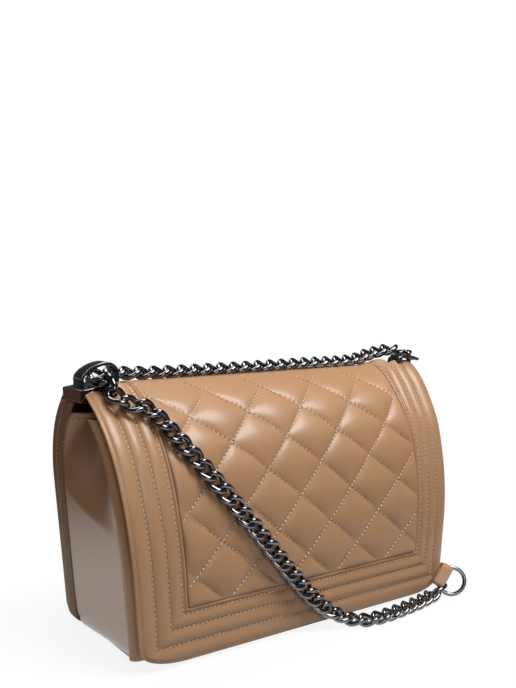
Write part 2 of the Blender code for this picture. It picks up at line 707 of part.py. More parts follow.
def pad_loop(name, centre, leg, across, look):
    """Add a leather loop folded round a ring's wire, with two legs."""
    leg, across = Vector(leg).normalized(), Vector(across)
    across = (across - across.dot(leg) * leg).normalized()
    side = leg.cross(across)
    grids = []
    for radius, edge in ((LOOP_RADIUS, PAD_THICKNESS / 2 + LOOP_THICKNESS),
                         (LOOP_RADIUS - LOOP_THICKNESS, PAD_THICKNESS / 8)):
        path = [side * edge + leg * LOOP_LEG]
        path += [side * (radius * math.cos(a)) - leg * (radius * math.sin(a))
                 for a in np.linspace(0.0, HALF_TURN, 11)]
        path.append(leg * LOOP_LEG - side * edge)
        grids.append([[tuple(Vector(centre) + step + across * (LOOP_HALF_WIDTH * h))
                       for step in path] for h in (-1, 1)])
    return grid_solid(name, *grids, look)


def hinge_parent(name, position, children):
    """Add an empty on a joint's axis and hang pieces on it where they stand."""
    empty = bpy.data.objects.new(name, None)
    empty.location = position
    bpy.context.scene.collection.objects.link(empty)
    for child in children:
        child.parent = empty
        child.location = Vector(child.location) - Vector(position)
    return empty


def metal_pieces(looks):
    """Add the brackets and the chain that stays on the flap, and return them."""
    pieces = []
    for word, side, height in (("left", -1, ARCH_HEIGHT), ("right", 1, ARCH_RIGHT_HEIGHT)):
        pieces.append(bracket_base("bracket_base_" + word, side, looks["metal"]))
        pieces.append(arch("bracket_arch_" + word, side, BRACKET_BASE_Z + height, looks["metal"]))
        inner_x = BRACKET_OUTER_X - BRACKET_LENGTH - CLEARANCE
        middle_y = BRACKET_FRONT_Y + BRACKET_DEPTH / 2
        low_y, high_y = middle_y - TONGUE_DEPTH / 2, middle_y + TONGUE_DEPTH / 2
        leather = FRAME_THICKNESS + FLAP_LINING_THICKNESS
        top_z = min(PROFILE.point(distance_at_y(y), leather)[1] for y in (low_y, high_y)) - TONGUE_DROP
        ends = sorted((side * inner_x, side * (inner_x - TONGUE_LENGTH)))
        pieces.append(box("bracket_tongue_" + word,
                          (ends[0], low_y, top_z - TONGUE_THICKNESS), (ends[1], high_y, top_z),
                          looks["metal"]))
    run = curb_run("chain_top_run", TOP_ROUTE, lambda c: (0.0, 0.0, 1.0), looks["metal"])
    left, right = Vector(STRAP_AXIS_LEFT), Vector(STRAP_AXIS_RIGHT)
    ahead, sideways = Vector((0.0, 1.0, 0.0)), Vector((1.0, 0.0, 0.0))
    anchors = {
        "anchor_link_left": (left + ahead * ANCHOR_HALF_LENGTH, ahead, sideways,
                             ANCHOR_HALF_LENGTH, ANCHOR_HALF_WIDTH),
        "anchor_link_right": (right + ahead * ANCHOR_HALF_WIDTH, sideways, ahead,
                              ANCHOR_SIDE_HALF_LENGTH, ANCHOR_HALF_WIDTH),
    }
    for name, sizes in anchors.items():
        mesh = loop_mesh(anchor_points(*sizes), WIRE_RADIUS, RING_SIDES)
        joined(run, add_object(name, *mesh, looks["metal"]))
    pieces.append(run)
    return pieces


def strap_pieces(looks):
    """Add the strap's chain runs, pad and rings and return them."""
    right, up, facing = ring_frame()
    loop_centre = Vector(RING_FRONT_CENTRE) + (up - right).normalized() * (RING_RADIUS - WIRE_RADIUS)
    sideways = Vector((1.0, 0.0, 0.0))
    pad = pad_band(looks["leather"])
    joined(pad, pad_loop("loop_front", loop_centre, LOOP_LEG_DIRECTION, right + up,
                         looks["leather"]))
    joined(pad, pad_loop("loop_back", Vector(RING_BACK_CENTRE)
                         - Vector((0.0, RING_RADIUS - WIRE_RADIUS, 0.0)),
                         (0.0, -1.0, 0.0), (0.0, 0.0, 1.0), looks["leather"]))
    return [
        curb_run("chain_front_run", FRONT_ROUTE, outward_at, looks["metal"],
                 ((0.0, 1.0, -1.0), HOOK_ACROSS)),
        curb_run("chain_side_run", SIDE_ROUTE, lambda c: sideways, looks["metal"],
                 ((0.0, 1.0, 0.0), sideways)),
        pad,
    ]


def main():
    """Clear the scene and build the bag."""
    for obj in list(bpy.data.objects):
        bpy.data.objects.remove(obj)
    looks = {
        "leather": ((0.48, 0.27, 0.14), 0.35, 0.0),
        "lining": ((0.20, 0.10, 0.05), 0.8, 0.0),
        "board": ((0.25, 0.20, 0.15), 0.8, 0.0),
        "steel": ((0.55, 0.55, 0.55), 0.3, 1.0),
        "metal": ((0.10, 0.10, 0.12), 0.18, 1.0),
    }
    body_pieces(looks)
    flap = flap_pieces(looks)
    flap.append(snap_pieces(looks))
    flap += metal_pieces(looks)
    strap = strap_pieces(looks)
    right, up, facing = ring_frame()
    rings = [
        ring("ring_front", RING_FRONT_CENTRE, right, up, looks["metal"]),
        ring("ring_back", RING_BACK_CENTRE, Vector((0.0, 1.0, 0.0)), Vector((0.0, 0.0, 1.0)),
             looks["metal"]),
    ]
    hinge = PROFILE.point(HINGE_LENGTH)
    flap_empty = hinge_parent("flap_hinge", (0.0, hinge[0], hinge[1]), flap)
    strap_empty = hinge_parent("strap_hinge", STRAP_AXIS_LEFT, strap + rings)
    strap_empty.parent = flap_empty
    strap_empty.location = Vector(STRAP_AXIS_LEFT) - Vector(flap_empty.location)


main()
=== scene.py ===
"""Dresses the CAD frame of a quilted leather flap bag so that it matches its photograph.

Every soft panel is a height over one leather surface: a side profile of arcs, walked by
distance from the flap's lower edge, and a place across the bag. The quilt's height is a padded
diamond, 1 - exp(-distance / reach) from two families of stitched lines, with half sines between
them. The border's height is a row of half sines between its stitch lines, with a lip and a fall
at the quilt. Its right side is drawn in by lines between three insets, and stands up beside the
right bracket by smooth steps. The gussets are half sines across, deeper towards the top, and
rounded corners and feet are quarter ellipses. A stitch is a bent capsule between two needle
holes, which are low cones. A chain link is an ellipse whose cross direction turns along its
length, so that each link lies in its neighbours as in a real curb chain. A bracket's strap is a
rounded section carried along quarter ellipses on the left, and along a low bar on the right.
Lengths are in metres and angles in radians: +X right, -Y front, +Z up, as in the CAD.
"""
import logging
import math
from dataclasses import dataclass, field
from enum import Enum
from functools import cached_property
from typing import Callable

import bpy
import numpy as np
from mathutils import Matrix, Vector


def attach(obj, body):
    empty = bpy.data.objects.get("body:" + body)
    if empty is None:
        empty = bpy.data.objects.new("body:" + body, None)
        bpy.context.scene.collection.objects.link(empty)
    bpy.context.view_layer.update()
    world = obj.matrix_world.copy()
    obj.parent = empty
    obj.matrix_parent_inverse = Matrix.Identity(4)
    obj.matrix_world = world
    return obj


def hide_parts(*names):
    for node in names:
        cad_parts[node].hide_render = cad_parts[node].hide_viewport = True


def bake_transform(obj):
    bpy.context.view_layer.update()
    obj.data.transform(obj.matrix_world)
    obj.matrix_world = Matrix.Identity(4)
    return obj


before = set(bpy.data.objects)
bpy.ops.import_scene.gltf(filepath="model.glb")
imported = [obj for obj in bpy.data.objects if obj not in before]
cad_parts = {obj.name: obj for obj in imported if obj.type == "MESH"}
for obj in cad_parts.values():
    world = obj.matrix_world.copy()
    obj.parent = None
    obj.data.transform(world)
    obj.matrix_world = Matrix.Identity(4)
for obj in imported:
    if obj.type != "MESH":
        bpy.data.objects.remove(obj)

logging.basicConfig(level=logging.INFO, format="%(message)s")
LOG = logging.getLogger("leather_bag")

MM = 0.001
TURN = 2 * math.pi
ACROSS = np.array([1.0, 0.0, 0.0])
BACKWARD = np.array([0.0, 1.0, 0.0])
UP = np.array([0.0, 0.0, 1.0])
WHITE = (1.0, 1.0, 1.0, 1.0)


class Side(Enum):
    """The two sides of the bag, as the sign of X."""

    LEFT = -1
    RIGHT = 1

    @property
    def word(self) -> str:
        """The side's name in piece names."""
        return self.name.lower()


class Rides(str, Enum):
    """Bodies of the CAD frame."""

    BODY = "body"
    FLAP = "flap"
    STRAP = "strap"
    FRONT_RING = "front_ring"
    BACK_RING = "back_ring"


class Slot(str, Enum):
    """Material slots of the visual model."""

    LEATHER = "tan_leather"
    LINING = "lining_cloth"
    METAL = "gunmetal"


@dataclass(frozen=True)
class BagSizes:
    """Sizes that more than one piece of leather takes from the CAD."""

    front_y: float = -57.0 * MM
    bottom_z: float = 2.5 * MM
    half_width: float = 125.0 * MM
    side_slope: float = 0.04
    frame_width: float = 33.0 * MM
    flap_front: float = 170.0 * MM
    flap_thickness: float = 1.6 * MM
    hinge: float = 208.5 * MM
    notch_half: float = 109.7 * MM
    notch_end: float = 204.3 * MM


@dataclass(frozen=True)
class FlapShape:
    """How the flap's right side is drawn in and stands up, by place across and distance."""

    drawn_at: tuple = (0.0, 30.0 * MM, 70.0 * MM)
    drawn: tuple = (-2.8 * MM, 2.2 * MM, 0.0)
    drawn_end: tuple = (105.0 * MM, 55.0 * MM)
    lift: float = 5.0 * MM
    lift_across: tuple = (88.0 * MM, 24.0 * MM)
    lift_along: tuple = (138.0 * MM, 34.0 * MM)
    lift_end: tuple = (180.0 * MM, 24.0 * MM)
    end_roll: float = 1.2 * MM


@dataclass(frozen=True)
class BorderSizes:
    """The flap's padded border, as insets from the flap's edge and distances along it."""

    rows: tuple = (11.6 * MM, 21.5 * MM, 30.0 * MM)
    swell: tuple = (1.1 * MM, 1.15 * MM, 1.0 * MM, 0.35 * MM)
    channel_power: float = 0.62
    valley: float = 0.35 * MM
    last_channel: float = 0.8 * MM
    overlap: float = 0.9 * MM
    lip: float = 0.6 * MM
    lip_inset: float = 2.0 * MM
    lip_rise: float = 1.3 * MM
    lip_fall: float = 0.9 * MM
    lip_depth: float = 0.3 * MM
    fine_step: float = 0.2 * MM
    edge_roll: float = 1.4 * MM
    edge_blend: float = 2.0 * MM
    corner: tuple = (34.0 * MM, 13.5 * MM)
    corner_power: float = 0.9
    corner_reach: float = 10.5 * MM
    least_corner: float = 0.6 * MM
    end_over_bracket: float = 177.5 * MM
    end_over_ridge: float = 198.0 * MM
    bracket_inset: float = 21.9 * MM
    top_swell: float = 0.7
    bottom_swell: float = 0.25
    full: tuple = (95.0 * MM, 60.0 * MM)
    # Painted shade: its reach and depth in the stitch rows, its reach at the quilted panel, and
    # the band along the bottom edge.
    seam: float = 0.5 * MM
    seam_depth: float = 0.6
    panel_seam: float = 0.3 * MM
    shade_depth: float = 0.95
    shade_along: tuple = (4.0 * MM, 3.0 * MM)
    shade_across: tuple = (-80.0 * MM, 40.0 * MM)
    thread_ends: tuple = (151.5 * MM, 176.0 * MM, 194.0 * MM)
    edge_thread: tuple = (152.6 * MM, 168.0 * MM)
    edge_thread_inset: float = 3.9 * MM
    edge_thread_height: float = 0.35 * MM
    points: tuple = (190, 22, 260)
    section_points: tuple = (12, 84, 17)
    thread_points: tuple = (200, 4, 300)


@dataclass(frozen=True)
class QuiltSizes:
    """The diamond quilting, as places on the flap's surface."""

    period: float = 41.9 * MM
    row_step: float = 19.4 * MM
    first_row: float = 167.2 * MM
    first_x: float = -53.8 * MM
    skew: float = 1.4 * MM
    puff: float = 2.3 * MM
    dome: float = 0.45
    vary: float = 0.10
    vary_steps: tuple = (12.9898, 78.233)
    reach: float = 2.9 * MM
    valley: float = 0.5 * MM
    lip: float = 0.9 * MM
    lip_depth: float = 1.4 * MM
    lip_reach: float = 0.35 * MM
    margin: float = 0.6 * MM
    margin_reach: float = 2.4 * MM
    corner: float = 2.4 * MM
    calm: tuple = (150.0 * MM, 28.0 * MM)
    puckers: tuple = ((0.10 * MM, 1.6 * MM), (0.26 * MM, 1.3 * MM))
    # Painted shade along the stitched lines and in the gap at the panel's edge.
    seam: float = 0.45 * MM
    seam_depth: float = 0.5
    panel_seam: float = 0.55 * MM
    panel_depth: float = 1.3
    fine: tuple = tuple(step * MM for step in (0.0, 0.08, 0.18, 0.32, 0.5, 0.75, 1.1, 1.6, 2.2))
    first_wide: float = 2.9 * MM
    pitch: float = 0.75 * MM
    fine_top: tuple = (0.6 * MM, 0.3 * MM, 0.1 * MM, 0.0)
    columns: int = 262
    lines_each_way: int = 8
    thread_start: float = 1.6 * MM
    thread_end: float = 176.0 * MM
    thread_step: float = 0.2 * MM
    thread_margin: float = 1.4 * MM
    least_points: int = 30
    rising: float = 1.35
    falling: float = 0.7


BAG = BagSizes()


def smooth_step(value: np.ndarray, start: float, reach: float) -> np.ndarray:
    """Return 0 up to a start and 1 from a reach beyond it, as 3 t squared - 2 t cubed.

    Args:
        value: the numbers to judge.
        start: where the rise starts.
        reach: how long it is.

    Returns:
        A share for each number.
    """
    share = np.clip((value - start) / reach, 0.0, 1.0)
    return share * share * (3.0 - 2.0 * share)


def closeness(distance: np.ndarray, reach: float) -> np.ndarray:
    """Return 1 at no distance, falling evenly to 0 at a reach."""
    return np.clip(1.0 - distance / reach, 0.0, 1.0)


def rounding(distance: np.ndarray, reach: float, depth: float) -> np.ndarray:
    """Return how far a quarter ellipse lies back, from its depth at 0 to nothing at a reach."""
    return depth * (1.0 - np.sqrt(1.0 - closeness(distance, reach) ** 2))


def seam_depth(distance: np.ndarray, seam: tuple) -> np.ndarray:
    """Return the painted shade of points in a seam, falling exponentially from its depth by its
    reach.
    """
    return seam[0] * np.exp(-distance / seam[1])


def signed_power(value: np.ndarray, power: float) -> np.ndarray:
    """Return a power of each number's size, with the number's sign."""
    return np.sign(value) * np.abs(value) ** power


def turns(count: int, start: float = 0.0) -> np.ndarray:
    """Return evenly spaced angles round a circle."""
    return (np.arange(count) + start) * TURN / count


def unit(vectors: np.ndarray) -> np.ndarray:
    """Return vectors scaled to length 1."""
    return vectors / np.maximum(np.linalg.norm(vectors, axis=-1, keepdims=True), 1e-12)


def square_to(vectors: np.ndarray, along: np.ndarray) -> np.ndarray:
    """Return vectors of length 1 with their part along other unit vectors taken out."""
    return unit(vectors - np.sum(vectors * along, axis=-1, keepdims=True) * along)


def path_lengths(line: np.ndarray) -> np.ndarray:
    """Return the length walked along a line at each of its points."""
    steps = np.linalg.norm(np.diff(line, axis=0), axis=1)
    return np.concatenate([[0.0], np.cumsum(steps)])


def resample(line: np.ndarray, lengths: np.ndarray, at: np.ndarray) -> np.ndarray:
    """Return a line's points at given lengths along it."""
    return np.stack([np.interp(at, lengths, line[:, k]) for k in range(3)], axis=1)


def heading(line: np.ndarray, lengths: np.ndarray, at: np.ndarray, reach: float) -> np.ndarray:
    """Return a line's unit directions, as chords from a reach behind to a reach ahead."""
    return unit(resample(line, lengths, at + reach) - resample(line, lengths, at - reach))


def smooth_route(route: tuple, count: int = 800) -> np.ndarray:
    """Return many points of a smooth curve through a route's points, as cubics between them.

    Args:
        route: the points that it passes through.
        count: about how many points it gets.

    Returns:
        An array of points.
    """
    points = np.array(route)
    ends = np.concatenate([[2 * points[0] - points[1]], points, [2 * points[-1] - points[-2]]])
    t = np.linspace(0.0, 1.0, count // len(points), endpoint=False)[:, None]
    curve = []
    for k in range(1, len(points)):
        p0, p1, p2, p3 = ends[k - 1:k + 3]
        curve.append((2 * p1 + (p2 - p0) * t + (2 * p0 - 5 * p1 + 4 * p2 - p3) * t ** 2
                      + (3 * p1 - p0 - 3 * p2 + p3) * t ** 3) / 2)
    return np.concatenate([*curve, points[-1:]])


def stations(route: tuple, spacing: float) -> tuple[np.ndarray, np.ndarray]:
    """Return evenly spaced points and unit directions along a smooth route.

    Args:
        route: the points that it passes through.
        spacing: the distance between stations.

    Returns:
        Two arrays, the points and the directions.
    """
    curve = smooth_route(route)
    lengths = path_lengths(curve)
    at = np.linspace(0.0, lengths[-1], int(round(lengths[-1] / spacing)) + 1)
    return resample(curve, lengths, at), heading(curve, lengths, at, spacing / 2)


def stacked(x: np.ndarray, y: np.ndarray, z: np.ndarray) -> np.ndarray:
    """Return points from matching arrays of x, y and z."""
    return np.stack(np.broadcast_arrays(x, y, z), axis=-1)


@dataclass
class Profile:
    """The outer leather line in the YZ plane, walked by distance from the flap's edge.

    Each arc has a radius and a turn in degrees. One that doesn't turn is a straight length.
    """

    arcs: tuple = (
        (52.0 * MM, 0.0), (191.0 * MM, 18.0), (85.0 * MM, 42.0), (24.0 * MM, 30.0),
        (30.0 * MM, 30.0), (70.0 * MM, 60.0), (99.0 * MM, 0.0))
    apex_arc: int = 4
    starts: list = field(default_factory=list)
    curves: list = field(default_factory=list)
    length: float = 0.0

    def __post_init__(self) -> None:
        """Walk the arcs once and keep where each starts, its heading and its bend."""
        y, z, angle = BAG.front_y, BAG.bottom_z, 0.0
        for size, degrees in self.arcs:
            turn = math.radians(degrees)
            self.starts.append(self.length)
            self.curves.append((y, z, angle, 1 / size if turn else 0.0))
            if turn:
                y += size * (math.cos(angle) - math.cos(angle + turn))
                z += size * (math.sin(angle + turn) - math.sin(angle))
            else:
                y += size * math.sin(angle)
                z += size * math.cos(angle)
            angle += turn
            self.length += size * turn if turn else size
        self.apex = self.starts[self.apex_arc]

    def at(self, distance: np.ndarray, height: np.ndarray = 0.0) -> tuple[np.ndarray, np.ndarray]:
        """Return y and z at distances, moved outwards by heights.

        On an arc they move by the differences of its headings' cosines and sines over its bend.

        Args:
            distance: distances from the flap's lower edge.
            height: how far outside the leather line each point lies.

        Returns:
            Two arrays, y and z.
        """
        distance = np.asarray(distance, float)
        which = np.clip(np.searchsorted(self.starts, distance, side="right") - 1, 0, None)
        y0, z0, first, bend = (np.array(column)[which] for column in zip(*self.curves))
        step = distance - np.array(self.starts)[which]
        now = first + bend * step
        safe = np.where(bend == 0.0, 1.0, bend)
        y = np.where(bend == 0.0, step * np.sin(first), (np.cos(first) - np.cos(now)) / safe)
        z = np.where(bend == 0.0, step * np.cos(first), (np.sin(now) - np.sin(first)) / safe)
        return y0 + y - height * np.cos(now), z0 + z + height * np.sin(now)

    def y_at(self, z: np.ndarray, depth: float, start: float) -> np.ndarray:
        """Return y at heights above the floor, on the half from a start to the apex.

        Args:
            z: heights above the floor.
            depth: how far inside the leather line.
            start: 0 for the front half, or the profile's length for the back half.

        Returns:
            y at each height.
        """
        y_line, z_line = self.at(np.linspace(start, self.apex, 200), -depth)
        return np.interp(z, z_line, y_line)

    def front(self, z: np.ndarray, depth: float) -> np.ndarray:
        """Return y of the front half at heights above the floor."""
        return self.y_at(z, depth, 0.0)

    def back(self, z: np.ndarray, depth: float = 0.0) -> np.ndarray:
        """Return y of the back half at heights above the floor."""
        return self.y_at(z, depth, self.length)

    def half(self, z: np.ndarray) -> np.ndarray:
        """Return half the flap's width at heights above the floor."""
        return BAG.half_width + BAG.side_slope * (z - BAG.bottom_z)

    def surface(self, x: np.ndarray, distance: np.ndarray, height: np.ndarray) -> np.ndarray:
        """Return points at places across, distances along and heights outside the leather."""
        x, distance, height = np.broadcast_arrays(x, distance, height)
        return stacked(x, *self.at(distance, height))


PROFILE = Profile()


def new_object(name: str, points: np.ndarray, faces: list | np.ndarray,
               crease: np.ndarray | None = None) -> bpy.types.Object:
    """Make a smooth-shaded mesh object from arrays.

    Args:
        name: the piece's name.
        points: vertices, any shape with a last axis of 3.
        faces: the vertices of each face.
        crease: 0 to 1 for each vertex, how much painted shade it takes in seams, creases and gaps.

    Returns:
        The new object, linked to the scene.
    """
    points = np.asarray(points, float).reshape(-1, 3)
    mesh = bpy.data.meshes.new(name)
    mesh.from_pydata(points, [], faces)
    mesh.polygons.foreach_set("use_smooth", np.ones(len(mesh.polygons), bool))
    attribute = mesh.attributes.new("crease", "FLOAT", "POINT")
    values = np.zeros(len(points)) if crease is None else np.asarray(crease, float).ravel()
    attribute.data.foreach_set("value", values.astype(np.float32))
    mesh.update()
    return linked(bpy.data.objects.new(name, mesh))


def linked(obj: bpy.types.Object) -> bpy.types.Object:
    """Link an object to the scene and return it."""
    bpy.context.scene.collection.objects.link(obj)
    return obj


def grid_quads(rows: int, cols: int, wrap_rows: bool = False,
               wrap_cols: bool = False) -> np.ndarray:
    """Return the quads of a grid of points.

    Args:
        rows: how many rows of points.
        cols: how many points in a row.
        wrap_rows: whether the last row joins the first.
        wrap_cols: whether each row's last point joins its first.

    Returns:
        An array of four indices for each quad.
    """
    i = np.arange(rows if wrap_rows else rows - 1)[:, None]
    j = np.arange(cols if wrap_cols else cols - 1)[None, :]
    i2, j2 = (i + 1) % rows, (j + 1) % cols
    quads = np.stack([i * cols + j, i * cols + j2, i2 * cols + j2, i2 * cols + j], axis=-1)
    return quads.reshape(-1, 4)


def repeated(faces: np.ndarray, count: int, stride: int) -> np.ndarray:
    """Return faces repeated for a count of like pieces with a stride of vertices each."""
    return (faces[None] + (np.arange(count) * stride)[:, None, None]).reshape(
        -1, faces.shape[1])


def shell(name: str, outer: np.ndarray, inner: np.ndarray,
          crease: np.ndarray | None = None) -> bpy.types.Object:
    """Make a closed sheet from two matching grids of points.

    Args:
        name: the piece's name.
        outer: the outer face's points.
        inner: the inner face's points.
        crease: how much painted shade each outer point takes in seams and creases.

    Returns:
        The new object.
    """
    rows, cols = outer.shape[:2]
    low = np.arange(cols)
    right = np.arange(1, rows) * cols + cols - 1
    high = (rows - 1) * cols + np.arange(cols - 2, -1, -1)
    left = np.arange(rows - 2, 0, -1) * cols
    rim = np.concatenate([low, right, high, left])
    after = np.roll(rim, -1)
    closing = np.stack([rim, rim + rows * cols, after + rows * cols, after], axis=-1)
    quads = grid_quads(rows, cols)
    faces = np.concatenate([quads, quads[:, ::-1] + rows * cols, closing])
    if crease is not None:
        crease = np.concatenate([np.ravel(crease), np.zeros(rows * cols)])
    points = np.concatenate([outer.reshape(-1, 3), inner.reshape(-1, 3)])
    return new_object(name, points, faces, crease)


def tube(name: str, sections: np.ndarray) -> bpy.types.Object:
    """Make a closed tube.

    Args:
        name: the piece's name.
        sections: a grid of points with a section in each row.

    Returns:
        The new object.
    """
    rows, cols = sections.shape[:2]
    faces = [tuple(quad) for quad in grid_quads(rows, cols, wrap_cols=True)]
    faces += [tuple(range(cols))[::-1], tuple(range((rows - 1) * cols, rows * cols))]
    return new_object(name, sections, faces)


def outward(obj: bpy.types.Object) -> None:
    """Turn a closed piece's faces outwards, where its volume comes out below zero.

    Args:
        obj: the piece, whose faces agree with each other.
    """
    mesh = obj.data
    mesh.calc_loop_triangles()
    points = np.zeros(len(mesh.vertices) * 3, np.float32)
    mesh.vertices.foreach_get("co", points)
    triangles = np.zeros(len(mesh.loop_triangles) * 3, np.int32)
    mesh.loop_triangles.foreach_get("vertices", triangles)
    a, b, c = points.reshape(-1, 3)[triangles.reshape(-1, 3)].astype(float).transpose(1, 0, 2)
    if np.sum(a * np.cross(b, c)) < 0.0:
        mesh.flip_normals()


class Graph:
    """A node tree with short ways to add nodes and to feed their inputs."""

    def __init__(self, tree: bpy.types.NodeTree) -> None:
        """Keep the tree's nodes and links."""
        self.nodes, self.links = tree.nodes, tree.links

    def feed(self, node: bpy.types.Node, inputs: dict) -> None:
        """Set a node's inputs, or join them to other nodes.

        Args:
            node: the node.
            inputs: for each input's name or place, a value or another node's output.
        """
        for name, value in inputs.items():
            if isinstance(value, bpy.types.NodeSocket):
                self.links.new(value, node.inputs[name])
            else:
                node.inputs[name].default_value = value

    def add(self, kind: str, output: str, inputs: dict | None = None,
            **settings: object) -> bpy.types.NodeSocket:
        """Add a node.

        Args:
            kind: the node's type.
            output: the name of the output that is wanted.
            inputs: for each input's name or place, a value or another node's output.
            settings: the node's own settings.

        Returns:
            The output.
        """
        node = self.nodes.new(kind)
        for name, value in settings.items():
            setattr(node, name, value)
        self.feed(node, inputs or {})
        return node.outputs[output]

    def math(self, operation: str, *values: object) -> bpy.types.NodeSocket:
        """Add a Math node on numbers or outputs and return its output."""
        return self.add("ShaderNodeMath", "Value", dict(enumerate(values)), operation=operation)

    def mix(self, factor: object, first: object, second: object,
            blend: str = "MIX") -> bpy.types.NodeSocket:
        """Add a Mix node for colours and return its output."""
        return self.add("ShaderNodeMix", "Result", {"Factor": factor, "A": first, "B": second},
                        data_type="RGBA", blend_type=blend)

    def span(self, value: bpy.types.NodeSocket, *ends: float,
             kind: str = "LINEAR") -> bpy.types.NodeSocket:
        """Add a Map Range node between two pairs of ends and return its output."""
        names = ("From Min", "From Max", "To Min", "To Max")
        return self.add("ShaderNodeMapRange", "Result", {"Value": value, **dict(zip(names, ends))},
                        interpolation_type=kind)


@dataclass(frozen=True)
class Finish:
    """What every finish has: a name, a base colour and a roughness."""

    name: str
    colour: tuple
    roughness: float

    @cached_property
    def material(self) -> bpy.types.Material:
        """The finish's material, built on its first use.

        Returns:
            The material.
        """
        material = bpy.data.materials.new(self.name)
        material.use_nodes = True
        graph = Graph(material.node_tree)
        shader = graph.nodes["Principled BSDF"]
        graph.feed(shader, {"Base Color": (*self.colour, 1.0), "Roughness": self.roughness})
        self.dress(graph, shader)
        return material

    def dress(self, graph: Graph, shader: bpy.types.Node) -> None:
        """Add what makes this kind of finish, which is nothing for a plain one."""


@dataclass(frozen=True)
class Leather(Finish):
    """A smooth leather with a fine grain, darker and less polished in its seams and creases, where
    its shade is painted.
    """

    seam: tuple
    coat: float = 0.24
    specular: float = 0.45
    grain: float = 0.10
    mottle: float = 0.05
    coat_roughness: float = 0.22
    slot: Slot = Slot.LEATHER

    def dress(self, graph: Graph, shader: bpy.types.Node) -> None:
        """Join the shared leather effects to the shader.

        Args:
            graph: the material's nodes.
            shader: its Principled node.
        """
        colour = graph.add("ShaderNodeGroup", "Colour", {
            "Colour": (*self.colour, 1.0), "Seam": (*self.seam, 1.0), "Mottle": self.mottle,
            "Grain": self.grain}, node_tree=EFFECTS.group)
        effects = colour.node.outputs
        graph.feed(shader, {
            "Base Color": colour, "Normal": effects["Normal"],
            "Coat Weight": graph.math("MULTIPLY", effects["Polish"], self.coat),
            "Coat Roughness": self.coat_roughness, "Specular IOR Level": self.specular})


@dataclass(frozen=True)
class Metal(Finish):
    """A polished dark metal with a clear coat and faint waviness."""

    coat: float = 1.0
    coat_ior: float = 1.8
    coat_roughness: float = 0.04
    wave_scale: float = 260.0
    spread: float = 0.3
    slot: Slot = Slot.METAL

    def dress(self, graph: Graph, shader: bpy.types.Node) -> None:
        """Make the shader metallic and let its roughness wander.

        Args:
            graph: the material's nodes.
            shader: its Principled node.
        """
        waves = graph.add("ShaderNodeTexNoise", "Fac", {
            "Vector": graph.add("ShaderNodeTexCoord", "Object"), "Scale": self.wave_scale})
        low, high = (self.roughness * (1.0 + sign * self.spread) for sign in (-1.0, 1.0))
        graph.feed(shader, {
            "Metallic": 1.0, "Coat Weight": self.coat, "Coat IOR": self.coat_ior,
            "Coat Roughness": self.coat_roughness,
            "Roughness": graph.span(waves, 0.0, 1.0, low, high)})


@dataclass(frozen=True)
class Matte(Finish):
    """A matte finish for cloth, thread and board, with a fine bump where it is woven."""

    weave: float = 0.0
    weave_scale: float = 1800.0
    weave_height: float = 0.1 * MM
    slot: Slot = Slot.LEATHER

    def dress(self, graph: Graph, shader: bpy.types.Node) -> None:
        """Add the weave.

        Args:
            graph: the material's nodes.
            shader: its Principled node.
        """
        if self.weave:
            threads = graph.add("ShaderNodeTexNoise", "Fac", {
                "Vector": graph.add("ShaderNodeTexCoord", "Object"), "Scale": self.weave_scale})
            graph.feed(shader, {"Normal": graph.add("ShaderNodeBump", "Normal", {
                "Strength": self.weave, "Distance": self.weave_height, "Height": threads})})


@dataclass(frozen=True)
class LeatherEffects:
    """The effects that all leathers share, as a node group.

    Its colour is mottled by a slow noise and darkens to the seam colour by the crease
    attribute, which carries painted shade. Its polish is a power of 1 - crease, so that the
    painted shade is also less glossy, and its normal carries the pores.
    """

    mottle_scale: float = 45.0
    mottle_detail: float = 4.0
    mottle_span: tuple = (0.3, 0.7)
    polish_power: float = 3.0
    pore_scale: float = 1500.0
    pore_depth: float = 0.06 * MM

    @cached_property
    def group(self) -> bpy.types.NodeTree:
        """The node group, built on its first use.

        Returns:
            The group.
        """
        group = bpy.data.node_groups.new("leather_effects", "ShaderNodeTree")
        for name, direction, kind in (
                ("Colour", "INPUT", "NodeSocketColor"), ("Seam", "INPUT", "NodeSocketColor"),
                ("Mottle", "INPUT", "NodeSocketFloat"), ("Grain", "INPUT", "NodeSocketFloat"),
                ("Colour", "OUTPUT", "NodeSocketColor"), ("Normal", "OUTPUT", "NodeSocketVector"),
                ("Polish", "OUTPUT", "NodeSocketFloat")):
            group.interface.new_socket(name=name, in_out=direction, socket_type=kind)
        graph = Graph(group)
        given = graph.nodes.new("NodeGroupInput").outputs
        place = graph.add("ShaderNodeTexCoord", "Object")
        crease = graph.add("ShaderNodeAttribute", "Fac", attribute_name="crease")
        mottle = graph.add("ShaderNodeTexNoise", "Fac", {
            "Vector": place, "Scale": self.mottle_scale, "Detail": self.mottle_detail})
        tone = graph.math("MULTIPLY_ADD", graph.span(mottle, *self.mottle_span),
                          given["Mottle"], 1.0)
        toned = graph.mix(1.0, given["Colour"], tone, "MULTIPLY")
        pores = graph.add("ShaderNodeTexVoronoi", "Distance", {
            "Vector": place, "Scale": self.pore_scale})
        plain = graph.math("SUBTRACT", 1.0, crease)
        graph.feed(graph.nodes.new("NodeGroupOutput"), {
            "Colour": graph.mix(crease, toned, given["Seam"]),
            "Polish": graph.math("POWER", plain, self.polish_power),
            "Normal": graph.add("ShaderNodeBump", "Normal", {
                "Distance": self.pore_depth, "Strength": given["Grain"], "Height": pores})})
        return group


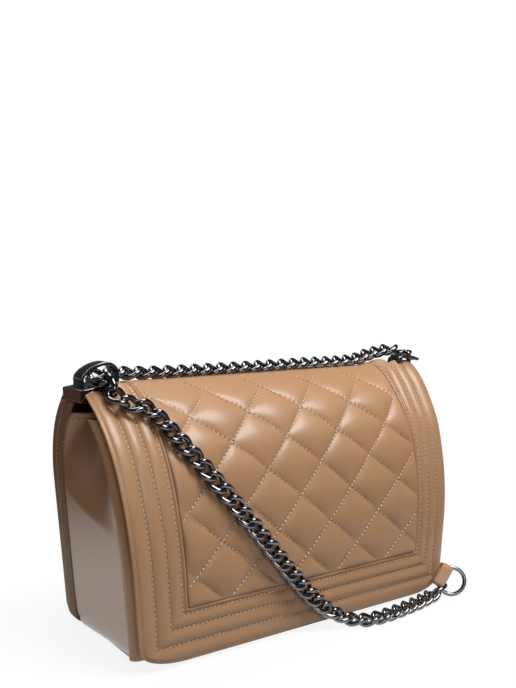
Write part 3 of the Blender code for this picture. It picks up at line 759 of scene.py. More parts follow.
EFFECTS = LeatherEffects()
# Each leather's second colour is the colour of its painted shade, which the crease attribute
# darkens towards.
DARK_SEAM = (0.10, 0.045, 0.02)
TAN = Leather("tan_leather", (0.435, 0.238, 0.118), 0.44, (0.13, 0.060, 0.027))
# A brighter, more orange copy of the tan leather: painted light on the gussets and the base. Its
# coat and low roughness are its own gloss.
LIT_SIDE = Leather("side_leather", (0.60, 0.280, 0.122), 0.30, (0.14, 0.055, 0.021), 0.5, 0.6)
# A brighter copy of the tan leather: painted light on the front bindings, which lie on the bag's
# shaded sides.
LIT_STRIP = Leather("strip_leather", (0.62, 0.325, 0.155), 0.36, DARK_SEAM, 0.3, 0.5)
# A darker copy of the tan leather without coat: painted shade on the back flanges.
SHADED_FLANGE = Leather("edge_leather", (0.36, 0.19, 0.098), 0.5, DARK_SEAM, 0.0, 0.25)
CLOTH = Matte("lining_cloth", (0.23, 0.12, 0.06), 0.85, weave=0.4, slot=Slot.LINING)
THREAD = Matte("thread", (0.76, 0.59, 0.43), 0.6)
# Dark cones at the needle holes: painted shade in the holes.
HOLE = Matte("stitch_hole", (0.13, 0.062, 0.030), 0.7)
BOARD = Matte("board", (0.25, 0.19, 0.13), 0.8)
GUNMETAL = Metal("gunmetal", (0.090, 0.092, 0.098), 0.12)
# Brown metal for the blocks' outer end faces: a painted reflection of the leather in the polished
# metal.
PAINTED_REFLECTION_METAL = Metal("gunmetal_painted_reflection", (0.55, 0.21, 0.12), 0.35, 0.1)
STEEL = Metal("snap_steel", (0.60, 0.60, 0.60), 0.3)


def finished(obj: bpy.types.Object, finish: Leather | Metal | Matte, body: Rides | None,
             *nodes: str) -> bpy.types.Object:
    """Give a piece its finish, the nodes it replaces and the body it rides on.

    Args:
        obj: the piece.
        finish: its finish.
        body: its body, or None where it rides on none.
        nodes: names of the CAD nodes that it stands for.

    Returns:
        The piece.
    """
    outward(obj)
    obj.data.materials.append(finish.material)
    if nodes:
        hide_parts(*nodes)
    if body is not None:
        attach(obj, body.value)
    LOG.info("%s: %d faces", obj.name, len(obj.data.polygons))
    return obj


@dataclass(frozen=True)
class Sewing:
    """Sewn threads, one short bent capsule for each stitch, between their needle holes."""

    pitch: float = 3.1 * MM
    length: float = 2.5 * MM
    radius: float = 0.27 * MM
    rise: float = 0.20 * MM
    sag: float = 1.6
    end_area: float = 0.02
    hole: tuple = (0.62 * MM, 0.50 * MM)
    hole_top: float = 0.14 * MM
    hole_rim: float = 0.05 * MM
    hole_depth: float = 0.3 * MM
    rings: int = 7
    sides: int = 6

    def row(self, name: str, line: np.ndarray, out: np.ndarray, body: Rides) -> None:
        """Sew along a line, with the stitches spread evenly over it.

        Args:
            name: the piece's name.
            line: points that the thread follows.
            out: the leather's outward direction at each point.
            body: the body that it rides on.
        """
        stitches = self.places(line, out, True)
        self.holes(name.replace("thread", "holes"), stitches, body)
        self.thread(name, stitches, body)

    def places(self, line: np.ndarray, out: np.ndarray, even: bool) -> tuple:
        """Return the places and the unit directions, along and out, of a line's stitches.

        Args:
            line: points that the thread follows.
            out: the leather's outward direction at each point.
            even: whether the stitches share the whole line, or keep their exact pitch.

        Returns:
            Three arrays with a row for each stitch.
        """
        lengths = path_lengths(line)
        count = max(1, int(lengths[-1] / self.pitch))
        at = (np.arange(count) + 0.5) * (lengths[-1] / count if even else self.pitch)
        along = heading(line, lengths, at, self.pitch / (2 if even else 3))
        return resample(line, lengths, at), along, square_to(resample(out, lengths, at), along)

    def holes(self, name: str, stitches: tuple, body: Rides) -> None:
        """Make a dark needle hole at the end of each stitch, as a low double cone: painted shade
        in the hole.

        Args:
            name: the piece's name.
            stitches: places, directions along and directions out.
            body: the body that it rides on.
        """
        place, along, out = (part[:, None] for part in stitches)
        turn = turns(self.sides)[:, None]
        ring = (np.cos(turn) * along * self.hole[0]
                + np.sin(turn) * np.cross(along, out) * self.hole[1])
        middle = place + along * self.pitch / 2
        points = np.concatenate([
            middle - self.hole_depth * out, middle + ring + self.hole_rim * out,
            middle + self.hole_top * out], axis=1)
        k = np.arange(self.sides) + 1
        after = np.roll(k, -1)
        faces = np.concatenate([np.stack([k, after, np.full_like(k, self.sides + 1)], axis=1),
                                np.stack([after, k, np.zeros_like(k)], axis=1)])
        faces = repeated(faces, len(place), self.sides + 2)
        finished(new_object(name, points, faces), HOLE, body)

    def thread(self, name: str, stitches: tuple, body: Rides, thick: float = 1.0) -> None:
        """Make a bent capsule for each stitch.

        Its radius falls as the root of 1 - t^4 and it sinks by t^4, with t from -1 to 1.

        Args:
            name: the piece's name.
            stitches: places, directions along and directions out.
            body: the body that it rides on.
            thick: its thickness, as a share of the usual thread's.
        """
        place, along, out = (part[:, None, None] for part in stitches)
        t = np.linspace(-1.0, 1.0, self.rings)[:, None, None]
        radius = thick * self.radius * np.sqrt(np.clip(1.0 - t ** 4, self.end_area, 1.0))
        rise = thick * self.rise * (1.0 - self.sag * t ** 4)
        turn = turns(self.sides)[:, None]
        around = np.cos(turn) * np.cross(along, out) + np.sin(turn) * out
        points = place + t * along * self.length / 2 + rise * out + around * radius
        faces = grid_quads(self.rings, self.sides, wrap_cols=True)
        faces = repeated(faces, len(place), self.rings * self.sides)
        finished(new_object(name, points, faces), THREAD, body)


SEWING = Sewing()


@dataclass
class Flap:
    """The flap: padded border, quilted panel, ridge leather, lining and sewing."""

    shape: FlapShape = FlapShape()
    rim: BorderSizes = BorderSizes()
    pad: QuiltSizes = QuiltSizes()
    ridge_ends: tuple = (2.0 * MM, 5.0 * MM)
    ridge_step: float = 0.4 * MM
    ridge_overhang: float = 0.6 * MM
    ridge_height: float = 0.9 * MM
    ridge_roll: float = 0.5 * MM
    ridge_seam: tuple = (0.5, 0.4 * MM)
    ridge_under: float = 0.1 * MM
    blend_reach: float = 3.5 * MM
    lining_inset: float = 2.0 * MM
    lining_end: float = 2.6 * MM
    lining_step: float = 0.3 * MM
    lining_gap: float = 0.4 * MM
    lining_thickness: float = 1.1 * MM
    ripple: tuple = (0.06 * MM, 9.0 * MM, 7.0 * MM)

    def half(self, distance: np.ndarray) -> np.ndarray:
        """Return half the flap's width at distances."""
        return PROFILE.half(PROFILE.at(distance)[1])

    def drawn_in(self, x: np.ndarray, distance: np.ndarray) -> np.ndarray:
        """Return the shift of x where the right side is drawn in, fading towards the ridge."""
        shift = np.interp(self.half(distance) - x, self.shape.drawn_at, self.shape.drawn)
        return shift * (1.0 - smooth_step(distance, *self.shape.drawn_end))

    def lifted(self, x: np.ndarray, distance: np.ndarray) -> np.ndarray:
        """Return how far the leather stands up where it meets the right bracket."""
        across = smooth_step(x, *self.shape.lift_across) * smooth_step(
            distance, *self.shape.lift_along)
        return self.shape.lift * across * (1.0 - smooth_step(distance, *self.shape.lift_end))

    def surface(self, x: np.ndarray, distance: np.ndarray, height: np.ndarray) -> np.ndarray:
        """Return points over the flap, with its pulled right side.

        Args:
            x: places across the bag.
            distance: distances along the profile.
            height: heights outside the leather.

        Returns:
            An array of points with the shape of the arguments and a last axis of 3.
        """
        points = PROFILE.surface(x, distance, height)
        points[..., 0] += self.drawn_in(x, distance)
        points[..., 2] += self.lifted(x, distance)
        return points

    def end_roll(self, distance: np.ndarray, end: float) -> np.ndarray:
        """Return the share of the full thickness that is left near an end."""
        return 1.0 - rounding(end - distance, self.shape.end_roll, 1.0)

    def border_height(self, inset: np.ndarray) -> np.ndarray:
        """Return the border's height: half sines between its lines, then a lip and a fall.

        Args:
            inset: distances in from the flap's edge.

        Returns:
            A height for each.
        """
        rim, width = self.rim, BAG.frame_width
        lines = (rim.edge_roll / 2, *rim.rows, width + rim.last_channel)
        height = np.full(np.shape(inset), -rim.valley)
        for start, end, swell in zip(lines, lines[1:], rim.swell):
            share = np.clip((inset - start) / (end - start), 0.0, 1.0)
            height += swell * np.sin(np.pi * share) ** rim.channel_power
        rise = smooth_step(inset, width - rim.lip_inset, rim.lip_rise)
        fall = smooth_step(inset, width, rim.lip_fall)
        return height + rim.lip * rise - (rim.lip + rim.lip_depth) * fall

    def outline(self, inset: float, counts: tuple) -> tuple[np.ndarray, np.ndarray]:
        """Return x and distance of a line at an inset from the flap's edge.

        Args:
            inset: distance in from the edge.
            counts: points down each side, round each corner and along the bottom.

        Returns:
            Two arrays, x and distance, from the left ridge round to the right.
        """
        rim = self.rim
        sides, corner, bottom = counts
        share = max(1.0 - inset / rim.corner_reach, 0.0)
        wide, tall = (max(size * share, rim.least_corner) for size in rim.corner)
        end = rim.end_over_bracket if inset < rim.bracket_inset else rim.end_over_ridge
        down = np.linspace(end, inset + tall, sides)
        x_side = inset - self.half(down)
        turn = np.linspace(0.0, np.pi / 2, corner)[1:]
        x_corner = x_side[-1] + wide * (1.0 - np.cos(turn) ** rim.corner_power)
        s_corner = inset + tall * (1.0 - np.sin(turn))
        x_bottom = np.linspace(x_corner[-1], -x_corner[-1], bottom)[1:-1]
        left_x, left_s = np.concatenate([x_side, x_corner]), np.concatenate([down, s_corner])
        x = np.concatenate([left_x, x_bottom, -left_x[::-1]])
        s = np.concatenate([left_s, np.full(bottom - 2, inset), left_s[::-1]])
        return x, s

    def border(self) -> None:
        """Make the padded border with its rolled outer edge, fuller towards the top."""
        rim, under = self.rim, BAG.flap_thickness
        edge_points, channel_points, lip_points = rim.section_points
        roll = np.linspace(0.0, np.pi, edge_points)
        fine = BAG.frame_width - rim.lip_inset
        top = np.concatenate([
            np.linspace(rim.edge_roll, fine - rim.fine_step, channel_points)[1:],
            np.linspace(fine, BAG.frame_width + rim.overlap, lip_points)])
        insets = np.concatenate([[BAG.frame_width], rim.edge_roll * (1.0 - np.sin(roll)), top])
        blend = np.clip((top - rim.edge_roll) / rim.edge_blend, 0.0, 1.0)
        heights = np.concatenate([[-under], -under / 2 * (1.0 + np.cos(roll)),
                                  self.border_height(top) * blend])
        columns = []
        for inset, height in zip(insets, heights):
            x, s = self.outline(inset, rim.points)
            high = smooth_step(s, *rim.full)
            full = 1.0 + rim.top_swell * high + rim.bottom_swell * (1.0 - high)
            lift = height * np.where(height > 0.0, full, 1.0) + under / 2
            columns.append(self.surface(x, s, lift * self.end_roll(s, s[0]) - under / 2))
        points = np.stack(columns, axis=1)
        # Painted shade: in the stitch rows, at the inner end under the quilted panel, under the
        # rolled edge, and along the right part of the rolled bottom edge.
        near = np.min(np.abs(insets[:, None] - np.array(rim.rows)), axis=1)
        crease = np.maximum(rim.seam_depth * np.exp(-near / rim.seam),
                            np.exp((insets - insets[-1]) / rim.panel_seam))
        crease[:3] = rim.seam_depth
        crease = np.tile(crease, (len(points), 1))
        x, s = self.outline(0.0, rim.points)
        shade = (1.0 - smooth_step(s, *rim.shade_along)) * smooth_step(x, *rim.shade_across)
        edge = slice(1, edge_points - 1)
        crease[:, edge] = np.maximum(crease[:, edge], rim.shade_depth * shade[:, None])
        faces = grid_quads(*points.shape[:2], wrap_cols=True)
        obj = new_object("flap_border", points, faces, crease)
        finished(obj, TAN, Rides.FLAP, "flap_frame")

    def quilt_lines(self, x: np.ndarray, distance: np.ndarray) -> tuple[np.ndarray, np.ndarray]:
        """Return both families of quilting lines as numbers that are whole on a line.

        Args:
            x: places across the bag.
            distance: distances along the profile.

        Returns:
            Two arrays, for the lines that rise to the right and those that fall.
        """
        row = (self.pad.first_row - distance) / self.pad.row_step
        place = (x - self.pad.first_x - self.pad.skew * row) / self.pad.period
        return place + row / 2, place - row / 2

    def calm(self, distance: np.ndarray) -> np.ndarray:
        """Return how much of the quilting is left at distances, none at the ridge."""
        return 1.0 - smooth_step(distance, *self.pad.calm)

    def quilt_height(self, x: np.ndarray, distance: np.ndarray,
                     edge: np.ndarray) -> tuple[np.ndarray, np.ndarray]:
        """Return the quilt's height, and the painted shade at each point, in its seams and at its
        edge.

        A puff rises as 1 - exp(-gap / reach) from both families of lines, with a half sine
        between them, and each puff differs a little. Waves at the stitches' pitch pucker it.

        Args:
            x: places across the bag.
            distance: distances along the profile.
            edge: distances from the panel's edge.

        Returns:
            Two arrays, the height and the painted shade.
        """
        pad = self.pad
        lines = self.quilt_lines(x, distance)
        step = pad.period * 2 * pad.row_step / math.hypot(pad.period, 2 * pad.row_step)
        near = [np.abs(line - np.round(line)) * step for line in lines]
        rise = [1.0 - np.exp(-gap / pad.reach) for gap in near]
        dome = [np.sin(np.pi * np.clip(gap / step, 0.0, 0.5)) for gap in near]
        cell_a, cell_b = (np.floor(line) for line in lines)
        vary = 1.0 + pad.vary * np.sin(cell_a * pad.vary_steps[0] + cell_b * pad.vary_steps[1])
        puff = pad.puff * vary * ((1.0 - pad.dome) * rise[0] * rise[1]
                                  + pad.dome * dome[0] * dome[1])
        pucker = sum(size * np.exp(-gap / reach) * np.cos(TURN * along / SEWING.pitch)
                     for gap, along, (size, reach) in zip(near, near[::-1], pad.puckers))
        inside = 1.0 - np.exp(-np.clip(edge - pad.margin, 0.0, None) / pad.margin_reach)
        inside = inside * self.calm(distance)
        fall = np.exp(-edge / pad.lip_reach)
        height = (pad.lip * (1.0 - fall) - pad.lip_depth * fall
                  + (puff + pucker - pad.valley) * inside)
        # Painted shade: along the stitched lines, and in the gap at the panel's edge.
        seam = pad.seam_depth * np.exp(-np.minimum(*near) / pad.seam) * inside
        rim = np.clip(pad.panel_depth * np.exp(-edge / pad.panel_seam), 0.0, 1.0)
        return height, np.maximum(seam, rim)

    def quilt(self) -> None:
        """Make the quilted panel, with finer rows and columns towards its edges."""
        pad, end = self.pad, self.rim.end_over_ridge
        tall, under = end - BAG.frame_width, BAG.flap_thickness / 2
        fine = np.array(pad.fine)
        rows = np.concatenate([fine, np.arange(pad.first_wide, tall, pad.pitch),
                               tall - np.array(pad.fine_top)])
        distance = BAG.frame_width + rows[:, None]
        half = self.half(distance) - BAG.frame_width
        half = half - rounding(rows[:, None], pad.corner, pad.corner)
        share = 1.0 - fine / half
        middle = np.linspace(-1.0, 1.0, pad.columns)[1:-1] * share[:, -1:]
        x = np.concatenate([-share, middle, share[:, ::-1]], axis=1) * half
        edge = np.minimum(half - np.abs(x), rows[:, None])
        height, crease = self.quilt_height(x, distance, edge)
        keep = self.end_roll(distance, end)
        outer = self.surface(x, distance, (height + under) * keep - under)
        inner = self.surface(x, distance, -under - under * keep)
        obj = shell("quilted_panel", outer, inner, crease)
        finished(obj, TAN, Rides.FLAP, "flap_quilted_panel")

    def sewing_line(self, x: np.ndarray, distance: np.ndarray,
                    height: np.ndarray) -> tuple[np.ndarray, np.ndarray]:
        """Return a line's points on the flap and their outward directions."""
        line = self.surface(x, distance, height)
        return line, unit(self.surface(x, distance, height + MM) - line)

    def quilt_stitches(self) -> None:
        """Sew both families of quilting lines, the rising one in thicker stitches."""
        pad = self.pad
        for name, lean, thick in (("rising", 1.0, pad.rising), ("falling", -1.0, pad.falling)):
            sewn = []
            for k in range(-pad.lines_each_way, pad.lines_each_way + 1):
                s = np.arange(BAG.frame_width + pad.thread_start, pad.thread_end, pad.thread_step)
                row = (pad.first_row - s) / pad.row_step
                x = pad.first_x + pad.skew * row + pad.period * (k - lean * row / 2)
                keep = np.abs(x) < self.half(s) - BAG.frame_width - pad.thread_margin
                if np.count_nonzero(keep) >= pad.least_points:
                    x, s = x[keep], s[keep]
                    line, out = self.sewing_line(x, s, pad.lip - pad.valley * self.calm(s))
                    sewn.append(SEWING.places(line, out, False))
            stitches = tuple(np.concatenate(part) for part in zip(*sewn))
            SEWING.thread("quilt_thread_" + name, stitches, Rides.FLAP, thick)
            SEWING.holes("quilt_holes_" + name, stitches, Rides.FLAP)

    def border_stitches(self) -> None:
        """Sew the rows of the padded border, and a short row at each side of the top."""
        rim = self.rim
        for name, inset, top in zip(("outer", "middle", "inner"), rim.rows, rim.thread_ends):
            x, s = self.outline(inset, rim.thread_points)
            keep = s <= top
            line, out = self.sewing_line(x[keep], s[keep], -rim.valley)
            SEWING.row("border_thread_" + name, line, out, Rides.FLAP)
        for side in Side:
            s = np.linspace(*rim.edge_thread, 30)
            x = side.value * (self.half(s) - rim.edge_thread_inset)
            line, out = self.sewing_line(x, s, rim.edge_thread_height)
            SEWING.row("edge_thread_" + side.word, line, out, Rides.FLAP)

    def ridge(self) -> None:
        """Make the ridge leather, which folds over the seam to the back panel."""
        before, past = self.ridge_ends
        end = BAG.hinge + past
        s = np.concatenate([
            np.linspace(self.rim.end_over_ridge - before, BAG.notch_end, 16),
            np.linspace(BAG.notch_end + self.ridge_step, end, 22)])[:, None]
        half = np.where(s <= BAG.notch_end, BAG.notch_half, self.half(s) + self.ridge_overhang)
        x = half * np.linspace(-1.0, 1.0, 121)
        edge = np.minimum(half - np.abs(x), np.minimum(end - s, s - s[0]))
        height = self.ridge_height * (1.0 - np.exp(-edge / self.ridge_roll))
        under = np.where(s > BAG.hinge, self.ridge_under, -BAG.flap_thickness)
        # Painted shade along the ridge leather's edges.
        obj = shell("ridge_leather", self.surface(x, s, height), self.surface(x, s, under),
                    seam_depth(edge, self.ridge_seam))
        finished(obj, TAN, None, "ridge_panel")
        start, stop = (tuple(self.surface(0.0, BAG.hinge + side * self.blend_reach, 0.0))
                       for side in (1, -1))
        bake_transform(obj)

    def lining(self) -> None:
        """Make the flap's lining, with a faint ripple of two sines."""
        inset, step = self.lining_inset, self.lining_step
        s = np.concatenate([np.linspace(inset, BAG.flap_front - step, 60),
                            np.linspace(BAG.flap_front + step, BAG.hinge - self.lining_end, 20)])
        half = np.where(s <= BAG.flap_front, self.half(s) - inset, BAG.notch_half)
        wide, tall = self.rim.corner
        cosine = np.sqrt(1.0 - closeness(s - inset, tall) ** 2)
        half, s = (half - wide * (1.0 - cosine ** self.rim.corner_power))[:, None], s[:, None]
        x = half * np.linspace(-1.0, 1.0, 60)
        depth = BAG.flap_thickness + self.lining_gap
        size, across, along = self.ripple
        ripple = size * np.sin(x / across) * np.sin(s / along)
        obj = shell("flap_lining_cloth", self.surface(x, s, -depth),
                    self.surface(x, s, ripple - depth - self.lining_thickness))
        finished(obj, CLOTH, Rides.FLAP, "flap_lining")

    def build(self) -> None:
        """Make every piece of the flap."""
        self.border()
        self.quilt()
        self.quilt_stitches()
        self.border_stitches()
        self.ridge()
        self.lining()


@dataclass(frozen=True)
class StripSizes:
    """How a strip on the body's side stands out, rolls at its edges and turns a corner."""

    swell: float
    soft: float
    corner: float
    seam: tuple
    finish: Leather


@dataclass(frozen=True)
class GussetSizes:
    """The hollow side panels. A share is of their height or width."""

    top: float = 146.5 * MM
    foot: float = 0.8 * MM
    gap: float = 0.3 * MM
    wall: float = 2.0 * MM
    hollow: tuple = (0.6 * MM, 17.0 * MM)
    hollow_start: tuple = (0.55, 0.10)
    hollow_powers: tuple = (1.25, 0.7)
    rise: tuple = (4.6 * MM, 12.0 * MM)
    tuck: tuple = (4.0 * MM, 5.0 * MM)
    roll: tuple = (0.9 * MM, 1.0 * MM)
    seam: tuple = (0.85, 0.8 * MM)
    # Painted shade in the hollow's upper part, deepest at the top and towards the front, and a
    # little over all of it.
    dark: tuple = (0.79, 0.20)
    dark_width: tuple = (0.95, 0.4)
    dark_depth: float = 0.70
    dark_power: float = 0.4
    hollow_base_shade: float = 0.08
    thread_inset: float = 4.0 * MM


@dataclass
class Body:
    """The bag's body: panels, gussets, bindings, lining and base."""

    overhang: float = 1.0 * MM
    depth: float = 5.0 * MM
    front_top: float = 156.0 * MM
    front_thickness: float = 2.2 * MM
    front_roll: tuple = (0.9 * MM, 1.2 * MM)
    front_foot: float = 11.0 * MM
    front_thread: float = 4.0 * MM
    front_thread_share: float = 0.98
    thread_gap: float = 0.1 * MM
    strip_start: float = 4.0 * MM
    strip_width: float = 8.0 * MM
    strip_wall: float = 2.0 * MM
    binding: StripSizes = StripSizes(0.2 * MM, 0.4 * MM, 5.5 * MM, (0.0, 0.45 * MM), LIT_STRIP)
    flange: StripSizes = StripSizes(0.5 * MM, 1.3 * MM, 0.0, (0.8, 0.45 * MM), SHADED_FLANGE)
    flange_depth: float = 19.0 * MM
    flange_inset: float = 0.4 * MM
    flange_thread_share: float = 0.52
    flange_thread_height: float = 0.35 * MM
    flange_ends: tuple = (6.0 * MM, 154.3 * MM)
    gusset: GussetSizes = GussetSizes()
    seam_gap: float = 0.2 * MM
    back_start: float = 0.3 * MM
    back_thickness: float = 3.0 * MM
    back_inner_share: float = 0.985
    back_seam: tuple = (0.35, 0.6 * MM)
    back_roll: tuple = (2.2 * MM, 3.0 * MM)
    back_foot_roll: tuple = (1.5 * MM, 3.0 * MM)
    back_swell: tuple = (0.5 * MM, 150.0 * MM)
    back_foot: float = 11.0 * MM
    back_foot_height: float = 9.0 * MM
    flange_foot_height: float = 7.5 * MM
    back_corner: float = 7.0 * MM
    bottom_thickness: float = 3.0 * MM
    bottom_inset: float = 2.6 * MM
    bottom_corner: float = 9.0 * MM
    bottom_roll: tuple = (0.8 * MM, 2.0 * MM)
    bottom_seam: tuple = (0.5, 1.0 * MM)
    bottom_ends: tuple = (1.3, 0.95)
    lining_top: float = 134.0 * MM
    lining_floor: float = 5.6 * MM
    lining_wall: float = 1.2 * MM
    lining_inset: float = 11.5 * MM
    lining_inward: float = 6.0 * MM
    lining_gaps: tuple = (2.5 * MM, 3.3 * MM)
    lining_turn: float = 0.375
    lining_power: float = 0.18

    def half(self, z: np.ndarray) -> np.ndarray:
        """Return half the body's width at heights above the floor."""
        return PROFILE.half(z) + self.overhang

    def setback(self, z: np.ndarray) -> np.ndarray:
        """Return how far the front's rounded foot lies back at heights above the floor."""
        return rounding(z - BAG.bottom_z, self.front_foot, self.front_foot)

    def back_panel(self) -> None:
        """Make the back panel with softly rolled side edges and a rounded foot."""
        s = np.linspace(BAG.hinge + self.back_start, PROFILE.length, 150)[:, None]
        foot = PROFILE.length - s
        half = self.half(PROFILE.at(s)[1]) - self.seam_gap
        half = half - rounding(foot, self.back_corner, self.back_corner)
        share = np.sin(np.linspace(-np.pi / 2, np.pi / 2, 140))
        x = half * share
        edge = half - np.abs(x)
        rolls = ((edge, self.back_roll), (foot, self.back_foot_roll))
        drop = sum(depth * closeness(gap, reach) ** 2 for gap, (depth, reach) in rolls)
        size, tall = self.back_swell
        swell = size * np.sin(np.pi * np.clip(foot / tall, 0.0, 1.0)) * np.cos(np.pi * share / 2)
        outer = PROFILE.surface(x, s, swell - drop)
        inner = PROFILE.surface(x * self.back_inner_share, s, -self.back_thickness)
        for face in (outer, inner):
            face[..., 1] -= rounding(face[..., 2] - BAG.bottom_z, self.back_foot_height,
                                     self.back_foot)
        # Painted shade along the side edges.
        obj = shell("back_leather", outer, inner, seam_depth(edge, self.back_seam))
        finished(obj, TAN, Rides.BODY, "back_panel")

    def front_panel(self) -> None:
        """Make the front panel under the flap, with a turned top edge."""
        s = np.linspace(self.strip_start, self.front_top, 90)[:, None]
        half = self.half(PROFILE.at(s)[1]) - self.binding.corner + self.seam_gap
        x = half * np.linspace(-1.0, 1.0, 50)
        depth, reach = self.front_roll
        roll = depth * closeness(self.front_top - s, reach) ** 2
        outer = PROFILE.surface(x, s, -self.depth - roll)
        inner = PROFILE.surface(x, s, roll - self.depth - self.front_thickness)
        for face in (outer, inner):
            face[..., 1] += self.setback(face[..., 2])
        finished(shell("front_leather", outer, inner), TAN, Rides.BODY, "front_panel")
        row = self.front_top - self.front_thread
        places = half[-1] * self.front_thread_share * np.linspace(-1.0, 1.0, 50)
        line = PROFILE.surface(places, row, self.thread_gap - self.depth)
        out = PROFILE.surface(places, row, 0.0) - line
        SEWING.row("front_top_thread", line, out, Rides.BODY)

    def side_strip(self, name: str, side: Side, z: np.ndarray, near: np.ndarray,
                   far: np.ndarray, sizes: StripSizes) -> None:
        """Make a strip on the body's side between two lines, softly swollen.

        Args:
            name: the CAD node's name, without its side.
            side: which side of the bag.
            z: heights of the rows.
            near: y of the strip's front edge at each height.
            far: y of its rear edge at each height.
            sizes: how it stands out, and its finish.
        """
        share = np.linspace(0.0, 1.0, 22)
        z, near, width = z[:, None], near[:, None], (far - near)[:, None]
        edge = np.minimum(share, 1.0 - share) * width
        flat = self.half(z) - rounding(share, 1.0, sizes.corner)
        roll = sizes.soft * closeness(edge, sizes.soft) ** 2
        x = flat + sizes.swell * np.sin(np.pi * share) - roll
        outer = stacked(side.value * x, near + width * share, z)
        inner = stacked(side.value * (flat - self.strip_wall), near + width * share, z)
        # Painted shade along both edges, none on the bindings.
        obj = shell(f"{name}_leather_{side.word}", outer, inner, seam_depth(edge, sizes.seam))
        finished(obj, sizes.finish, Rides.BODY, f"{name}_{side.word}")

    def bindings(self) -> None:
        """Make the front bindings and back flanges on both sides."""
        s = np.linspace(self.strip_start, self.front_top, 120)
        front_y, front_z = PROFILE.at(s, -self.depth)
        near = front_y + self.setback(front_z)
        far = np.maximum(PROFILE.front(front_z, self.depth) + self.strip_width, near + MM)
        back_z = np.linspace(*self.flange_ends, 130)
        back = PROFILE.back(back_z)
        foot = rounding(back_z - back_z[0], self.flange_foot_height, self.back_foot)
        middle = back[4:-3] - self.flange_depth * self.flange_thread_share
        for side in Side:
            self.side_strip("front_binding", side, front_z, near, far, self.binding)
            self.side_strip("back_flange", side, back_z, back - self.flange_depth,
                            back - self.flange_inset - foot, self.flange)
            z = back_z[4:-3]
            line = stacked(side.value * (self.half(z) + self.flange_thread_height), middle, z)
            out = np.broadcast_to(side.value * ACROSS, line.shape)
            SEWING.row("flange_thread_" + side.word, line, out, Rides.BODY)

    def gussets(self) -> None:
        """Make both hollow side panels with their turned top edges.

        A hollow is a half sine across the panel, that deepens upwards by a power of the height,
        and its upper part takes painted shade, deepest at the top and towards the front.
        """
        sizes = self.gusset
        z = sizes.foot + (sizes.top - sizes.foot) * np.sin(np.linspace(0.0, np.pi / 2, 110))
        near = (PROFILE.front(z, self.depth) + self.strip_width)[:, None]
        far = (PROFILE.back(z) - self.flange_depth - sizes.gap)[:, None]
        share = (1.0 - np.cos(np.linspace(0.0, np.pi, 72))) / 2
        above, below = (z - sizes.foot)[:, None], (sizes.top - z)[:, None]
        lift = above / (sizes.top - sizes.foot)
        across = np.sin(np.pi * share)
        start = sizes.hollow_start[0] + sizes.hollow_start[1] * share ** 2
        rising = np.clip((lift - start) / (1.0 - start), 0.0, 1.0)
        shallow, deepest = sizes.hollow
        up_power, across_power = sizes.hollow_powers
        hollow = (shallow * across
                  + (deepest - shallow) * rising ** up_power * across ** across_power)
        tuck, rise = (size * np.exp(-above / reach)
                      for size, reach in (sizes.tuck, sizes.rise))
        roll = sizes.roll[0] * closeness(below, sizes.roll[1]) ** 2
        x = self.half(z)[:, None] - hollow - tuck - roll
        y, zed = near + (far - near) * share, z[:, None] + rise * (1.0 - share)
        # Painted shade: along the front seam, and in the hollow's upper part.
        seam = seam_depth((1.0 - share) * (far - near), sizes.seam)
        dark = np.clip((lift - sizes.dark[0]) / sizes.dark[1], 0.0, 1.0)
        dark = dark * (sizes.dark_width[0] - sizes.dark_width[1] * share)
        hollow_base_shade = sizes.hollow_base_shade * np.clip(4.0 * rising, 0.0, 1.0)
        crease = np.maximum(seam, hollow_base_shade + sizes.dark_depth * dark * across ** sizes.dark_power)
        row = int(np.argmin(np.abs(z - (sizes.top - sizes.thread_inset))))
        for side in Side:
            outer = stacked(side.value * x, y, zed)
            inner = stacked(side.value * (x - sizes.wall + 2 * roll), y, zed)
            obj = shell("gusset_leather_" + side.word, outer, inner, crease)
            finished(obj, LIT_SIDE, Rides.BODY, "gusset_" + side.word)
            line = outer[row, 3:-3]
            out = np.broadcast_to(side.value * ACROSS, line.shape)
            SEWING.row("gusset_thread_" + side.word, line, out, Rides.BODY)

    def base(self) -> None:
        """Make the bottom panel with rounded corners and a rolled edge."""
        half = self.half(0.0) - self.gusset.tuck[0] - self.bottom_inset
        front_share, back_share = self.bottom_ends
        front = PROFILE.front(BAG.bottom_z, self.depth) + self.front_foot * front_share
        back = PROFILE.back(BAG.bottom_z, self.back_thickness) - self.back_foot * back_share
        y = front + (back - front) * (1.0 - np.cos(np.linspace(0.0, np.pi, 44)[:, None])) / 2
        end = np.minimum(y - front, back - y)
        half = half - rounding(end, self.bottom_corner, self.bottom_corner)
        x = half * np.linspace(-1.0, 1.0, 60)
        edge = np.minimum(half - np.abs(x), end)
        depth, reach = self.bottom_roll
        # Painted shade along the rolled edge.
        obj = shell("bottom_leather", stacked(x, y, depth * closeness(edge, reach) ** 2),
                    stacked(x, y, self.bottom_thickness), seam_depth(edge, self.bottom_seam))
        finished(obj, LIT_SIDE, Rides.BODY, "bottom_panel")

